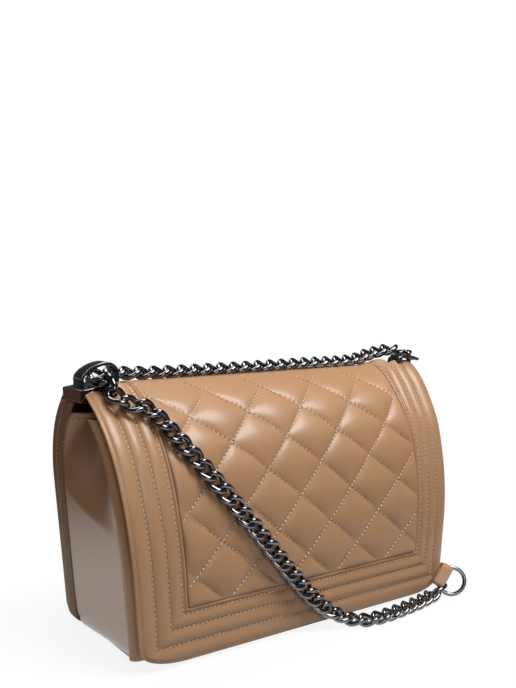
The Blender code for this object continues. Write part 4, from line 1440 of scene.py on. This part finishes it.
    def lining(self) -> None:
        """Make the body's open cloth lining, from loops up its outside and down its inside."""
        low, top, wall = self.lining_floor, self.lining_top, self.lining_wall
        front_gap, back_gap = self.lining_gaps
        start = self.lining_turn * top
        walls = []
        for inset, first, last in ((0.0, low, top), (wall, top, low + wall)):
            z = np.linspace(first, last, 40)
            near = PROFILE.front(z, self.depth + front_gap + inset)
            far = PROFILE.back(z, back_gap + inset)
            inward = self.lining_inward * smooth_step(z, start, top - start)
            half = self.half(z) - self.lining_inset - inward - inset
            walls.append(self.rounded_loops(half, near, far, z))
        loops = np.concatenate(walls)
        rows, cols = loops.shape[:2]
        ring = np.arange(cols)
        after, middle, end = np.roll(ring, -1), np.full(cols, rows * cols), (rows - 1) * cols
        faces = [tuple(quad) for quad in grid_quads(rows, cols, wrap_cols=True)]
        faces += [tuple(face) for face in np.stack([after, ring, middle], axis=1)]
        faces += [tuple(face) for face in np.stack([end + ring, end + after, middle + 1], axis=1)]
        points = np.concatenate([loops.reshape(-1, 3), loops[0].mean(axis=0)[None],
                                 loops[-1].mean(axis=0)[None]])
        finished(new_object("body_lining_cloth", points, faces), CLOTH, Rides.BODY, "body_lining")

    def rounded_loops(self, half: np.ndarray, near: np.ndarray, far: np.ndarray,
                      z: np.ndarray) -> np.ndarray:
        """Return loops of points round a soft rectangle, one for each height.

        Args:
            half: half its width at each height.
            near: y of its front.
            far: y of its back.
            z: the heights.

        Returns:
            An array of loops, points and coordinates, from powers of a cosine and a sine.
        """
        turn = turns(120)
        half, near, far, z = (part[:, None] for part in (half, near, far, z))
        x = half * signed_power(np.cos(turn), self.lining_power)
        y = (near + far) / 2 + (far - near) / 2 * signed_power(np.sin(turn), self.lining_power)
        return stacked(x, y, z)

    def build(self) -> None:
        """Make every piece of the body."""
        self.back_panel()
        self.front_panel()
        self.bindings()
        self.gussets()
        self.base()
        self.lining()


@dataclass
class Brackets:
    """The corner brackets on the ridge: a block and a flat strap over it at each side."""

    outer_x: float = 134.0 * MM
    length: float = 24.0 * MM
    front_y: float = -10.0 * MM
    depth: float = 27.0 * MM
    base_z: float = 155.5 * MM
    height: float = 7.0 * MM
    rise: float = 3.5 * MM
    bevel: float = 0.5 * MM
    right_share: float = 0.6
    strap_y: float = -12.0 * MM
    strap_depth: float = 12.0 * MM
    strap_thickness: float = 2.0 * MM
    strap_edge: float = 0.45 * MM
    strap_gap: float = 0.3 * MM
    leg: float = 6.4 * MM
    peak: float = 178.5 * MM
    crown: float = 0.31
    crown_power: float = 1.25
    bar: tuple = (
        (0.1364, 0.1682), (0.1300, 0.1700), (0.1215, 0.1712), (0.1172, 0.1690), (0.1160, 0.1650),
        (0.1160, 0.1620))

    def block(self, side: Side, share: float) -> None:
        """Make a bracket's wedge-shaped block, with its outer end face in brown metal, a painted
        reflection of the leather.

        Args:
            side: which side of the bag.
            share: its height, as a share of the full height.
        """
        ends = (self.outer_x - self.length, self.outer_x)
        walls = (self.front_y, self.front_y + self.depth)
        top = self.base_z + self.height * share
        tops = (top + self.rise * share, top)
        corners = [(side.value * x, y, z) for level in ((self.base_z, self.base_z), tops)
                   for y, order in zip(walls, (1, -1)) for x, z in list(zip(ends, level))[::order]]
        quads = np.array([[0, 3, 2, 1], [4, 5, 6, 7], [0, 1, 5, 4], [1, 2, 6, 5], [2, 3, 7, 6],
                          [3, 0, 4, 7]])
        obj = new_object("bracket_block_" + side.word, np.array(corners), quads)
        rounded = obj.modifiers.new("rounding", "BEVEL")
        rounded.width = self.bevel
        rounded.segments = 3
        rounded.harden_normals = True
        finished(obj, GUNMETAL, Rides.FLAP, "bracket_base_" + side.word)
        # The outer end face takes the painted reflection of the leather.
        obj.data.materials.append(PAINTED_REFLECTION_METAL.material)
        obj.data.polygons[3].material_index = 1

    def arch_line(self) -> np.ndarray:
        """Return x and z along the middle of the left strap.

        It goes up the outer leg, over the crown by two quarter ellipses and down the inner leg.

        Returns:
            An array of points.
        """
        half = self.strap_thickness / 2
        base = self.base_z + self.height + self.strap_gap
        outer, inner = self.outer_x - half, self.outer_x - self.length + half
        crown = inner + (outer - inner) * self.crown
        shoulder, foot, top = base + self.leg, base + self.rise, self.peak - half
        middle = (top + foot) / 2
        leg = np.linspace([outer, base], [outer, shoulder], 8)[:-1]
        turn = np.linspace(0.0, np.pi / 2, 24)[:, None]
        one = np.hstack([crown + (outer - crown) * np.cos(turn) ** self.crown_power,
                         shoulder + (top - shoulder) * np.sin(turn) ** self.crown_power])
        turn = np.linspace(np.pi / 2, np.pi, 14)[1:, None]
        two = np.hstack([crown + (crown - inner) * np.cos(turn),
                         middle + (top - middle) * np.sin(turn)])
        return np.concatenate([leg, one, two, np.linspace([inner, middle], [inner, foot], 6)[1:]])

    def strap(self, side: Side, line: np.ndarray) -> None:
        """Make a bracket's flat strap: a rectangle with rounded edges, carried along a line.

        Args:
            side: which side of the bag.
            line: x and z of its middle line.
        """
        step = unit(np.gradient(line, axis=0))
        edge = self.strap_edge
        half_y, half_t = self.strap_depth / 2, self.strap_thickness / 2
        angle = TURN * (np.arange(4)[:, None] + np.linspace(0.0, 1.0, 5)) / 4
        corner_y, corner_t = np.array([1, -1, -1, 1])[:, None], np.array([1, 1, -1, -1])[:, None]
        across = (corner_y * (half_y - edge) + edge * np.cos(angle)).ravel()
        thick = (corner_t * (half_t - edge) + edge * np.sin(angle)).ravel()
        x = side.value * (line[:, :1] + thick * step[:, 1:])
        z = line[:, 1:] - thick * step[:, :1]
        obj = tube("bracket_strap_" + side.word, stacked(x, self.strap_y + half_y + across, z))
        finished(obj, GUNMETAL, Rides.FLAP, "bracket_arch_" + side.word)

    def build(self) -> None:
        """Make both brackets. The right one is a low block under a thin bar."""
        self.block(Side.LEFT, 1.0)
        self.strap(Side.LEFT, self.arch_line())
        self.block(Side.RIGHT, self.right_share)
        self.strap(Side.RIGHT, smooth_route([(x, 0.0, z) for x, z in self.bar], 70)[:, [0, 2]])


@dataclass
class Chains:
    """The curb chain's three runs, the two links that it hangs on and the two rings."""

    wire: float = 1.72 * MM
    wire_power: float = 0.86
    wire_sides: int = 14
    link_points: int = 44
    half_length: float = 6.9 * MM
    half_width: float = 4.35 * MM
    twist: float = math.radians(-50)
    pitch: float = 9.9 * MM
    top_lean: float = math.radians(16)
    floor_turn: float = 24.0 * MM
    anchor_half_width: float = 4.5 * MM
    anchor_half_lengths: tuple = (12.1 * MM, 6.5 * MM)
    axis_left: tuple = (-0.1186, -0.0160, 0.1672)
    axis_right: tuple = (0.1392, 0.0050, 0.1722)
    hook_across: tuple = (-0.02, 0.82, -0.57)
    ring: float = 9.75 * MM
    ring_wire: float = 1.5 * MM
    ring_points: int = 96
    ring_lean: float = math.radians(18)
    ring_heading: float = math.radians(-34.8)
    ring_front: tuple = (0.1225, -0.0685, 0.0112)
    ring_back: tuple = (0.1400, 0.0480, 0.0118)
    front_route: tuple = (
        (-0.1186, -0.0175, 0.1657), (-0.1176, -0.0237, 0.1596), (-0.1100, -0.0278, 0.1548),
        (-0.0997, -0.0300, 0.1506), (-0.0897, -0.0408, 0.1364), (-0.0781, -0.0496, 0.1199),
        (-0.0645, -0.0557, 0.1016), (-0.0490, -0.0595, 0.0813), (-0.0325, -0.0618, 0.0600),
        (-0.0140, -0.0630, 0.0368), (0.0060, -0.0630, 0.0165), (0.0220, -0.0670, 0.0060),
        (0.0320, -0.0735, 0.0040), (0.0482, -0.0762, 0.0040), (0.0752, -0.0738, 0.0040),
        (0.0930, -0.0705, 0.0040), (0.1044, -0.0677, 0.0041), (0.1130, -0.0658, 0.0055))
    top_route: tuple = (
        (-0.1125, 0.0098, 0.1694), (-0.0980, 0.0090, 0.1692), (-0.0696, 0.0070, 0.1684),
        (-0.0175, 0.0070, 0.1682), (0.0381, 0.0070, 0.1684), (0.0846, 0.0082, 0.1686),
        (0.1080, 0.0100, 0.1726), (0.1260, 0.0102, 0.1750))
    side_route: tuple = (
        (0.1392, 0.0060, 0.1660), (0.1392, 0.0095, 0.1570), (0.1392, 0.0210, 0.1250),
        (0.1396, 0.0350, 0.0800), (0.1400, 0.0450, 0.0400), (0.1400, 0.0485, 0.0236))

    def wires(self, name: str, lines: np.ndarray, radius: float | list, body: Rides,
              node: str) -> None:
        """Make closed wires, one for each closed line of points.

        Args:
            name: the piece's name.
            lines: an array of lines, points and coordinates.
            radius: the wire's radius, or one for each line.
            body: the body that it rides on.
            node: the CAD node that it replaces.
        """
        tangent = unit(np.roll(lines, -1, axis=1) - np.roll(lines, 1, axis=1))
        out = square_to(lines - lines.mean(axis=1, keepdims=True), tangent)[:, :, None]
        third = np.cross(tangent, out[:, :, 0])[:, :, None]
        turn = turns(self.wire_sides)[:, None]
        around = (signed_power(np.cos(turn), self.wire_power) * out
                  + signed_power(np.sin(turn), self.wire_power) * third)
        points = lines[:, :, None] + np.reshape(radius, (-1, 1, 1, 1)) * around
        faces = repeated(grid_quads(lines.shape[1], self.wire_sides, True, True), len(lines),
                         lines.shape[1] * self.wire_sides)
        finished(new_object(name, points, faces), GUNMETAL, body, node)

    def run(self, route: tuple, face_at: Callable, ends: tuple | None = None) -> np.ndarray:
        """Return the centre lines of a run of links along a route.

        Each line is an ellipse, whose direction across turns by the twist times the cosine of
        the angle round it.

        Args:
            route: the run's points.
            face_at: gives the direction that a link's flat side faces at points.
            ends: directions across the first and the last link, which then lie flat.

        Returns:
            An array of closed lines.
        """
        centres, along = stations(route, self.pitch)
        across = np.cross(along, face_at(centres))
        twist = np.full((len(centres), 1, 1), self.twist)
        if ends is not None:
            across[0], across[-1] = ends
            twist[[0, -1]] = 0.0
        across = square_to(across, along)
        above = np.cross(along, across)[:, None]
        centres, along, across = (part[:, None] for part in (centres, along, across))
        turn = turns(self.link_points)[:, None]
        angle = twist * np.cos(turn)
        return (centres + self.half_length * np.cos(turn) * along
                + self.half_width * np.sin(turn) * (np.cos(angle) * across
                                                    + np.sin(angle) * above))

    def out_of_leather(self, centres: np.ndarray) -> np.ndarray:
        """Return the direction out of the bag at points, turning up near the floor.

        Args:
            centres: the points.

        Returns:
            A unit direction for each.
        """
        s = np.linspace(0.0, BAG.hinge, 400)
        y, z = PROFILE.at(s)
        nearest = np.argmin(np.hypot(y - centres[:, 1:2], z - centres[:, 2:3]), axis=1)
        above_y, above_z = PROFILE.at(s[nearest], MM)
        out = unit(stacked(0.0, above_y - y[nearest], above_z - z[nearest]))
        share = np.clip(1.0 - centres[:, 2:3] / self.floor_turn, 0.0, 1.0)
        return unit(out * (1.0 - share) + UP * share)

    def anchor(self, centre: np.ndarray, along: np.ndarray, across: np.ndarray,
               half_length: float) -> np.ndarray:
        """Return the centre line of a flat link with straight bars, a circle drawn squarer.

        Args:
            centre: its middle.
            along: the direction of its length.
            across: the direction of its width.
            half_length: half its length.

        Returns:
            A closed line.
        """
        turn = turns(self.link_points, 0.5)[:, None]
        return (centre + half_length * signed_power(np.cos(turn), 0.5) * along
                + self.anchor_half_width * signed_power(np.sin(turn), 0.5) * across)

    def runs(self) -> None:
        """Make the three runs of chain and the two links that the strap hangs on."""
        front = self.run(self.front_route, self.out_of_leather,
                         (BACKWARD - UP, np.array(self.hook_across)))
        self.wires("front_chain", front, self.wire, Rides.STRAP, "chain_front_run")
        side = self.run(self.side_route, lambda c: np.broadcast_to(ACROSS, c.shape),
                        (BACKWARD, ACROSS))
        self.wires("side_chain", side, self.wire, Rides.STRAP, "chain_side_run")
        face = UP * math.cos(self.top_lean) - BACKWARD * math.sin(self.top_lean)
        top = self.run(self.top_route, lambda c: np.broadcast_to(face, c.shape))
        long, short = self.anchor_half_lengths
        anchors = np.stack([
            self.anchor(self.axis_left + BACKWARD * long, BACKWARD, ACROSS, long),
            self.anchor(self.axis_right + BACKWARD * self.anchor_half_width, ACROSS, BACKWARD,
                        short)])
        radii = [self.wire] * len(top) + [self.ring_wire] * len(anchors)
        self.wires("top_chain", np.concatenate([top, anchors]), radii, Rides.FLAP,
                   "chain_top_run")

    def ring_frame(self) -> tuple[np.ndarray, np.ndarray, np.ndarray]:
        """Return the front ring's frame.

        Returns:
            Three unit vectors, to its right, up and out of its face.
        """
        right = np.array([math.cos(self.ring_heading), math.sin(self.ring_heading), 0.0])
        level = np.array([right[1], -right[0], 0.0])
        facing = level * math.cos(self.ring_lean) + UP * math.sin(self.ring_lean)
        return right, np.cross(facing, right), facing

    def rings(self) -> None:
        """Make both rings."""
        right, up, _ = self.ring_frame()
        turn = turns(self.ring_points)[:, None]
        for name, centre, one, two, body in (
                ("ring_front", self.ring_front, right, up, Rides.FRONT_RING),
                ("ring_back", self.ring_back, BACKWARD, UP, Rides.BACK_RING)):
            line = centre + self.ring * (np.cos(turn) * one + np.sin(turn) * two)
            self.wires(name + "_wire", line[None], self.ring_wire, body, name)

    def build(self) -> None:
        """Make all the chains and both rings."""
        self.runs()
        self.rings()


@dataclass
class ShoulderPad:
    """The leather pad on the strap: a band and the loops that hold its rings."""

    chains: Chains
    half_width: float = 7.2 * MM
    thickness: float = 2.6 * MM
    swell: float = 0.18
    loop_thickness: float = 1.2 * MM
    gap: float = 0.1 * MM
    tab: tuple = (4.3 * MM, 2.3 * MM, 15.0 * MM)
    loop: tuple = (6.0 * MM, 4.0 * MM, 6.6 * MM)
    tab_place: tuple = (-0.34, 0.93)
    tab_leg: tuple = (-0.53, -0.85, 0.30)
    thread_height: float = 5.2 * MM
    thread_skip: int = 3
    spacing: float = 1.5 * MM
    route: tuple = (
        (0.1250, -0.0590, 0.0118), (0.1288, -0.0560, 0.0112), (0.1322, -0.0470, 0.0112),
        (0.1362, -0.0300, 0.0098), (0.1395, -0.0060, 0.0092), (0.1400, 0.0200, 0.0092),
        (0.1400, 0.0355, 0.0108))

    def strip(self, name: str, centres: np.ndarray, wide: np.ndarray, half_width: float,
              thickness: float) -> bpy.types.Object:
        """Make a strip with rounded edges and a full middle along a line of points.

        Args:
            name: the piece's name.
            centres: points of its middle line.
            wide: the direction of its width.
            half_width: half its width.
            thickness: its thickness.

        Returns:
            The new object.
        """
        along = unit(np.gradient(centres, axis=0))
        wide = square_to(np.broadcast_to(wide, along.shape), along)
        turn = np.linspace(0.0, np.pi, 7)
        half = thickness / 2
        arc = np.stack([half_width - half + half * np.sin(turn), half * np.cos(turn)], axis=1)
        flat = np.linspace(1.0, -1.0, 14)[1:-1, None] * np.array([[half_width - half, 0.0]])
        rise = np.array([[0.0, half]])
        section = np.concatenate([arc, flat - rise, -arc, rise - flat])
        full = section[:, 1] * (1.0 + self.swell * np.cos(np.pi * section[:, 0] / half_width / 2))
        points = (centres[:, None] + section[:, :1] * wide[:, None]
                  + full[:, None] * np.cross(along, wide)[:, None])
        return tube(name, points)

    def loop_line(self, centre: np.ndarray, leg: np.ndarray, wide: np.ndarray, radius: float,
                  length: float) -> np.ndarray:
        """Return the middle line of a loop: half a circle, with legs that close smoothly.

        Args:
            centre: the middle of the half circle.
            leg: the unit direction of the legs.
            wide: the direction of the loop's width, square to the legs.
            radius: the half circle's radius.
            length: the legs' length.

        Returns:
            The line's points.
        """
        side = np.cross(leg, wide)
        turn = np.linspace(0.0, np.pi, 25)[:, None]
        bend = side * radius * np.cos(turn) - leg * radius * np.sin(turn)
        share = np.linspace(0.0, 1.0, 8)[1:, None]
        close = self.loop_thickness / 2 + self.gap
        apart = side * (radius + (close - radius) * smooth_step(share, 0.0, 1.0))
        reach = leg * length * share
        return centre + np.concatenate([(reach + apart)[::-1], bend, reach - apart])

    def loops(self) -> None:
        """Make the front tab and the back loop, each folded round its ring."""
        chains = self.chains
        right, up, facing = chains.ring_frame()
        aside, above = self.tab_place
        places = (
            ("pad_loop_front", chains.ring_front + (above * up + aside * right) * chains.ring,
             sum(size * way for size, way in zip(self.tab_leg, (right, up, facing))),
             -self.tab_leg[1] * right + self.tab_leg[0] * up, self.tab),
            ("pad_loop_back", chains.ring_back - BACKWARD * (chains.ring - chains.ring_wire),
             -BACKWARD, UP, self.loop))
        for name, centre, leg, wide, (half_width, radius, length) in places:
            leg = unit(leg)
            wide = square_to(wide, leg)
            line = self.loop_line(centre, leg, wide, radius, length)
            finished(self.strip(name, line, wide, half_width, self.loop_thickness), TAN,
                     Rides.STRAP)

    def build(self) -> None:
        """Make the band, both loops and the band's stitching."""
        centres, along = stations(self.route, self.spacing)
        band = self.strip("shoulder_pad_leather", centres, UP, self.half_width, self.thickness)
        finished(band, TAN, Rides.STRAP, "shoulder_pad")
        self.loops()
        sewn = slice(self.thread_skip, -self.thread_skip)
        out = unit(np.cross(along, UP))[sewn]
        surface = centres[sewn] + out * (self.thickness / 2 + self.gap)
        for name, sign in (("upper", 1.0), ("lower", -1.0)):
            SEWING.row("pad_thread_" + name, surface + UP * sign * self.thread_height, out,
                       Rides.STRAP)


@dataclass(frozen=True)
class Lamp:
    """A soft rectangular light."""

    name: str
    place: tuple
    size: tuple
    power: float


@dataclass
class Studio:
    """The camera, the lights, the surroundings and the floor."""

    azimuth: float = math.radians(-34.81)
    elevation: float = math.radians(13.82)
    place: tuple = (-0.316, -0.4504, 0.2187)
    lens: float = 42.49
    sensor: float = 36.0
    shift_y: float = 146.0 / 688.0
    clip: tuple = (0.01, 50.0)
    aim: tuple = (0.0, 0.0, 0.08)
    lamps: tuple = (
        Lamp("key", (0.40, -0.70, 1.60), (0.8, 0.8), 28.0),
        Lamp("front", (-0.30, -1.55, 0.70), (0.6, 0.5), 4.5),
        Lamp("top", (-0.1, 0.45, 1.2), (0.8, 0.5), 6.0))
    horizon: tuple = (0.27, 0.26, 0.31, 1.0)
    above: tuple = (0.06, 0.055, 0.055, 1.0)
    heights: tuple = (0.02, 0.16)
    ambient: tuple = (0.12, 0.12, 0.12, 1.0)
    floor_half: float = 3.0
    floor_roughness: float = 0.9
    floor_seen: tuple = (0.92, 0.92, 0.92, 1.0)
    floor_bounce: tuple = (0.15, 0.15, 0.15, 1.0)
    fade: tuple = (0.10, 0.42, 0.88, 1.0)
    dim: tuple = (0.22, 0.50, 0.95, 0.05)

    def turned(self, obj: bpy.types.Object, place: tuple, back: Vector) -> None:
        """Place an object so that it looks against a direction.

        Args:
            obj: a camera or a light.
            place: its place.
            back: the direction from what it looks at to it.
        """
        obj.location = place
        obj.rotation_mode = "QUATERNION"
        obj.rotation_quaternion = back.to_track_quat("Z", "Y")

    def camera(self) -> None:
        """Place the camera that was solved from the photograph."""
        data = bpy.data.cameras.new("camera")
        data.sensor_width, data.lens, data.shift_y = self.sensor, self.lens, self.shift_y
        data.clip_start, data.clip_end = self.clip
        obj = linked(bpy.data.objects.new("camera", data))
        level = math.cos(self.elevation)
        back = Vector((math.sin(self.azimuth) * level, -math.cos(self.azimuth) * level,
                       math.sin(self.elevation)))
        self.turned(obj, self.place, back)
        bpy.context.scene.camera = obj

    def lights(self) -> None:
        """Add the soft studio lights."""
        for lamp in self.lamps:
            data = bpy.data.lights.new(lamp.name, "AREA")
            data.shape = "RECTANGLE"
            data.size, data.size_y = lamp.size
            data.energy = lamp.power
            obj = linked(bpy.data.objects.new(lamp.name, data))
            self.turned(obj, lamp.place, Vector(lamp.place) - Vector(self.aim))

    def rays(self, graph: Graph) -> tuple[bpy.types.NodeSocket, bpy.types.NodeSocket]:
        """Tell the kinds of rays apart.

        Args:
            graph: the nodes to add to.

        Returns:
            Two outputs that are 1 for camera rays, and for glossy or transmission rays.
        """
        camera = graph.add("ShaderNodeLightPath", "Is Camera Ray")
        path = camera.node.outputs
        return camera, graph.math("MAXIMUM", path["Is Glossy Ray"], path["Is Transmission Ray"])

    def world(self) -> None:
        """Set the surroundings: white to the camera, a pale horizon in reflections."""
        world = bpy.data.worlds.new("studio")
        bpy.context.scene.world = world
        world.use_nodes = True
        graph = Graph(world.node_tree)
        camera, mirrored = self.rays(graph)
        place = graph.add("ShaderNodeTexCoord", "Generated")
        height = graph.add("ShaderNodeSeparateXYZ", "Z", {"Vector": place})
        sky = graph.mix(graph.span(height, *self.heights), self.horizon, self.above)
        colour = graph.mix(camera, graph.mix(mirrored, self.ambient, sky), WHITE)
        graph.feed(graph.nodes["Background"], {"Color": colour, "Strength": 1.0})

    def floor(self) -> None:
        """Add a plain white floor that keeps the bag's shadow and fades to white further out."""
        half = self.floor_half
        corners = half * np.array([[-1, -1, 0], [1, -1, 0], [1, 1, 0], [-1, 1, 0]])
        obj = new_object("floor", corners, np.array([[0, 1, 2, 3]]))
        material = bpy.data.materials.new("floor")
        material.use_nodes = True
        graph = Graph(material.node_tree)
        camera, mirrored = self.rays(graph)
        shown = graph.math("MAXIMUM", camera, mirrored)
        place = graph.add("ShaderNodeTexCoord", "Object")
        far = graph.add("ShaderNodeVectorMath", "Value", {0: place}, operation="LENGTH")
        shader = graph.nodes["Principled BSDF"]
        graph.feed(shader, {"Roughness": self.floor_roughness, "Specular IOR Level": 0.0,
                            "Base Color": graph.mix(shown, self.floor_bounce, self.floor_seen)})
        glow = graph.mix(camera, graph.span(far, *self.dim), WHITE)
        white = graph.add("ShaderNodeEmission", "Emission", {"Color": glow})
        share = graph.math("MULTIPLY", graph.span(far, *self.fade, kind="SMOOTHSTEP"), shown)
        mixed = graph.add("ShaderNodeMixShader", "Shader",
                          {"Fac": share, 1: shader.outputs["BSDF"], 2: white})
        graph.feed(graph.nodes["Material Output"], {"Surface": mixed})
        obj.data.materials.append(material)

    def build(self) -> None:
        """Set up the whole studio, and show colours as they are written."""
        self.camera()
        self.lights()
        self.world()
        self.floor()
        bpy.context.scene.view_settings.view_transform = "Standard"


def finish_cad_nodes() -> None:
    """Give the CAD nodes that stay their finishes."""
    looks = {
        "snap_stud": STEEL, "snap_socket": STEEL, "base_board": BOARD,
        "bracket_tongue_left": GUNMETAL, "bracket_tongue_right": GUNMETAL,
    }
    for name, finish in looks.items():
        node = bpy.data.objects.get(name)
        if node is not None:
            node.data.materials.clear()
            node.data.materials.append(finish.material)


def main() -> None:
    """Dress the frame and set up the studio."""
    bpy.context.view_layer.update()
    finish_cad_nodes()
    chains = Chains()
    for part in (Body(), Flap(), Brackets(), chains, ShoulderPad(chains), Studio()):
        part.build()


if __name__ == "__main__":
    main()
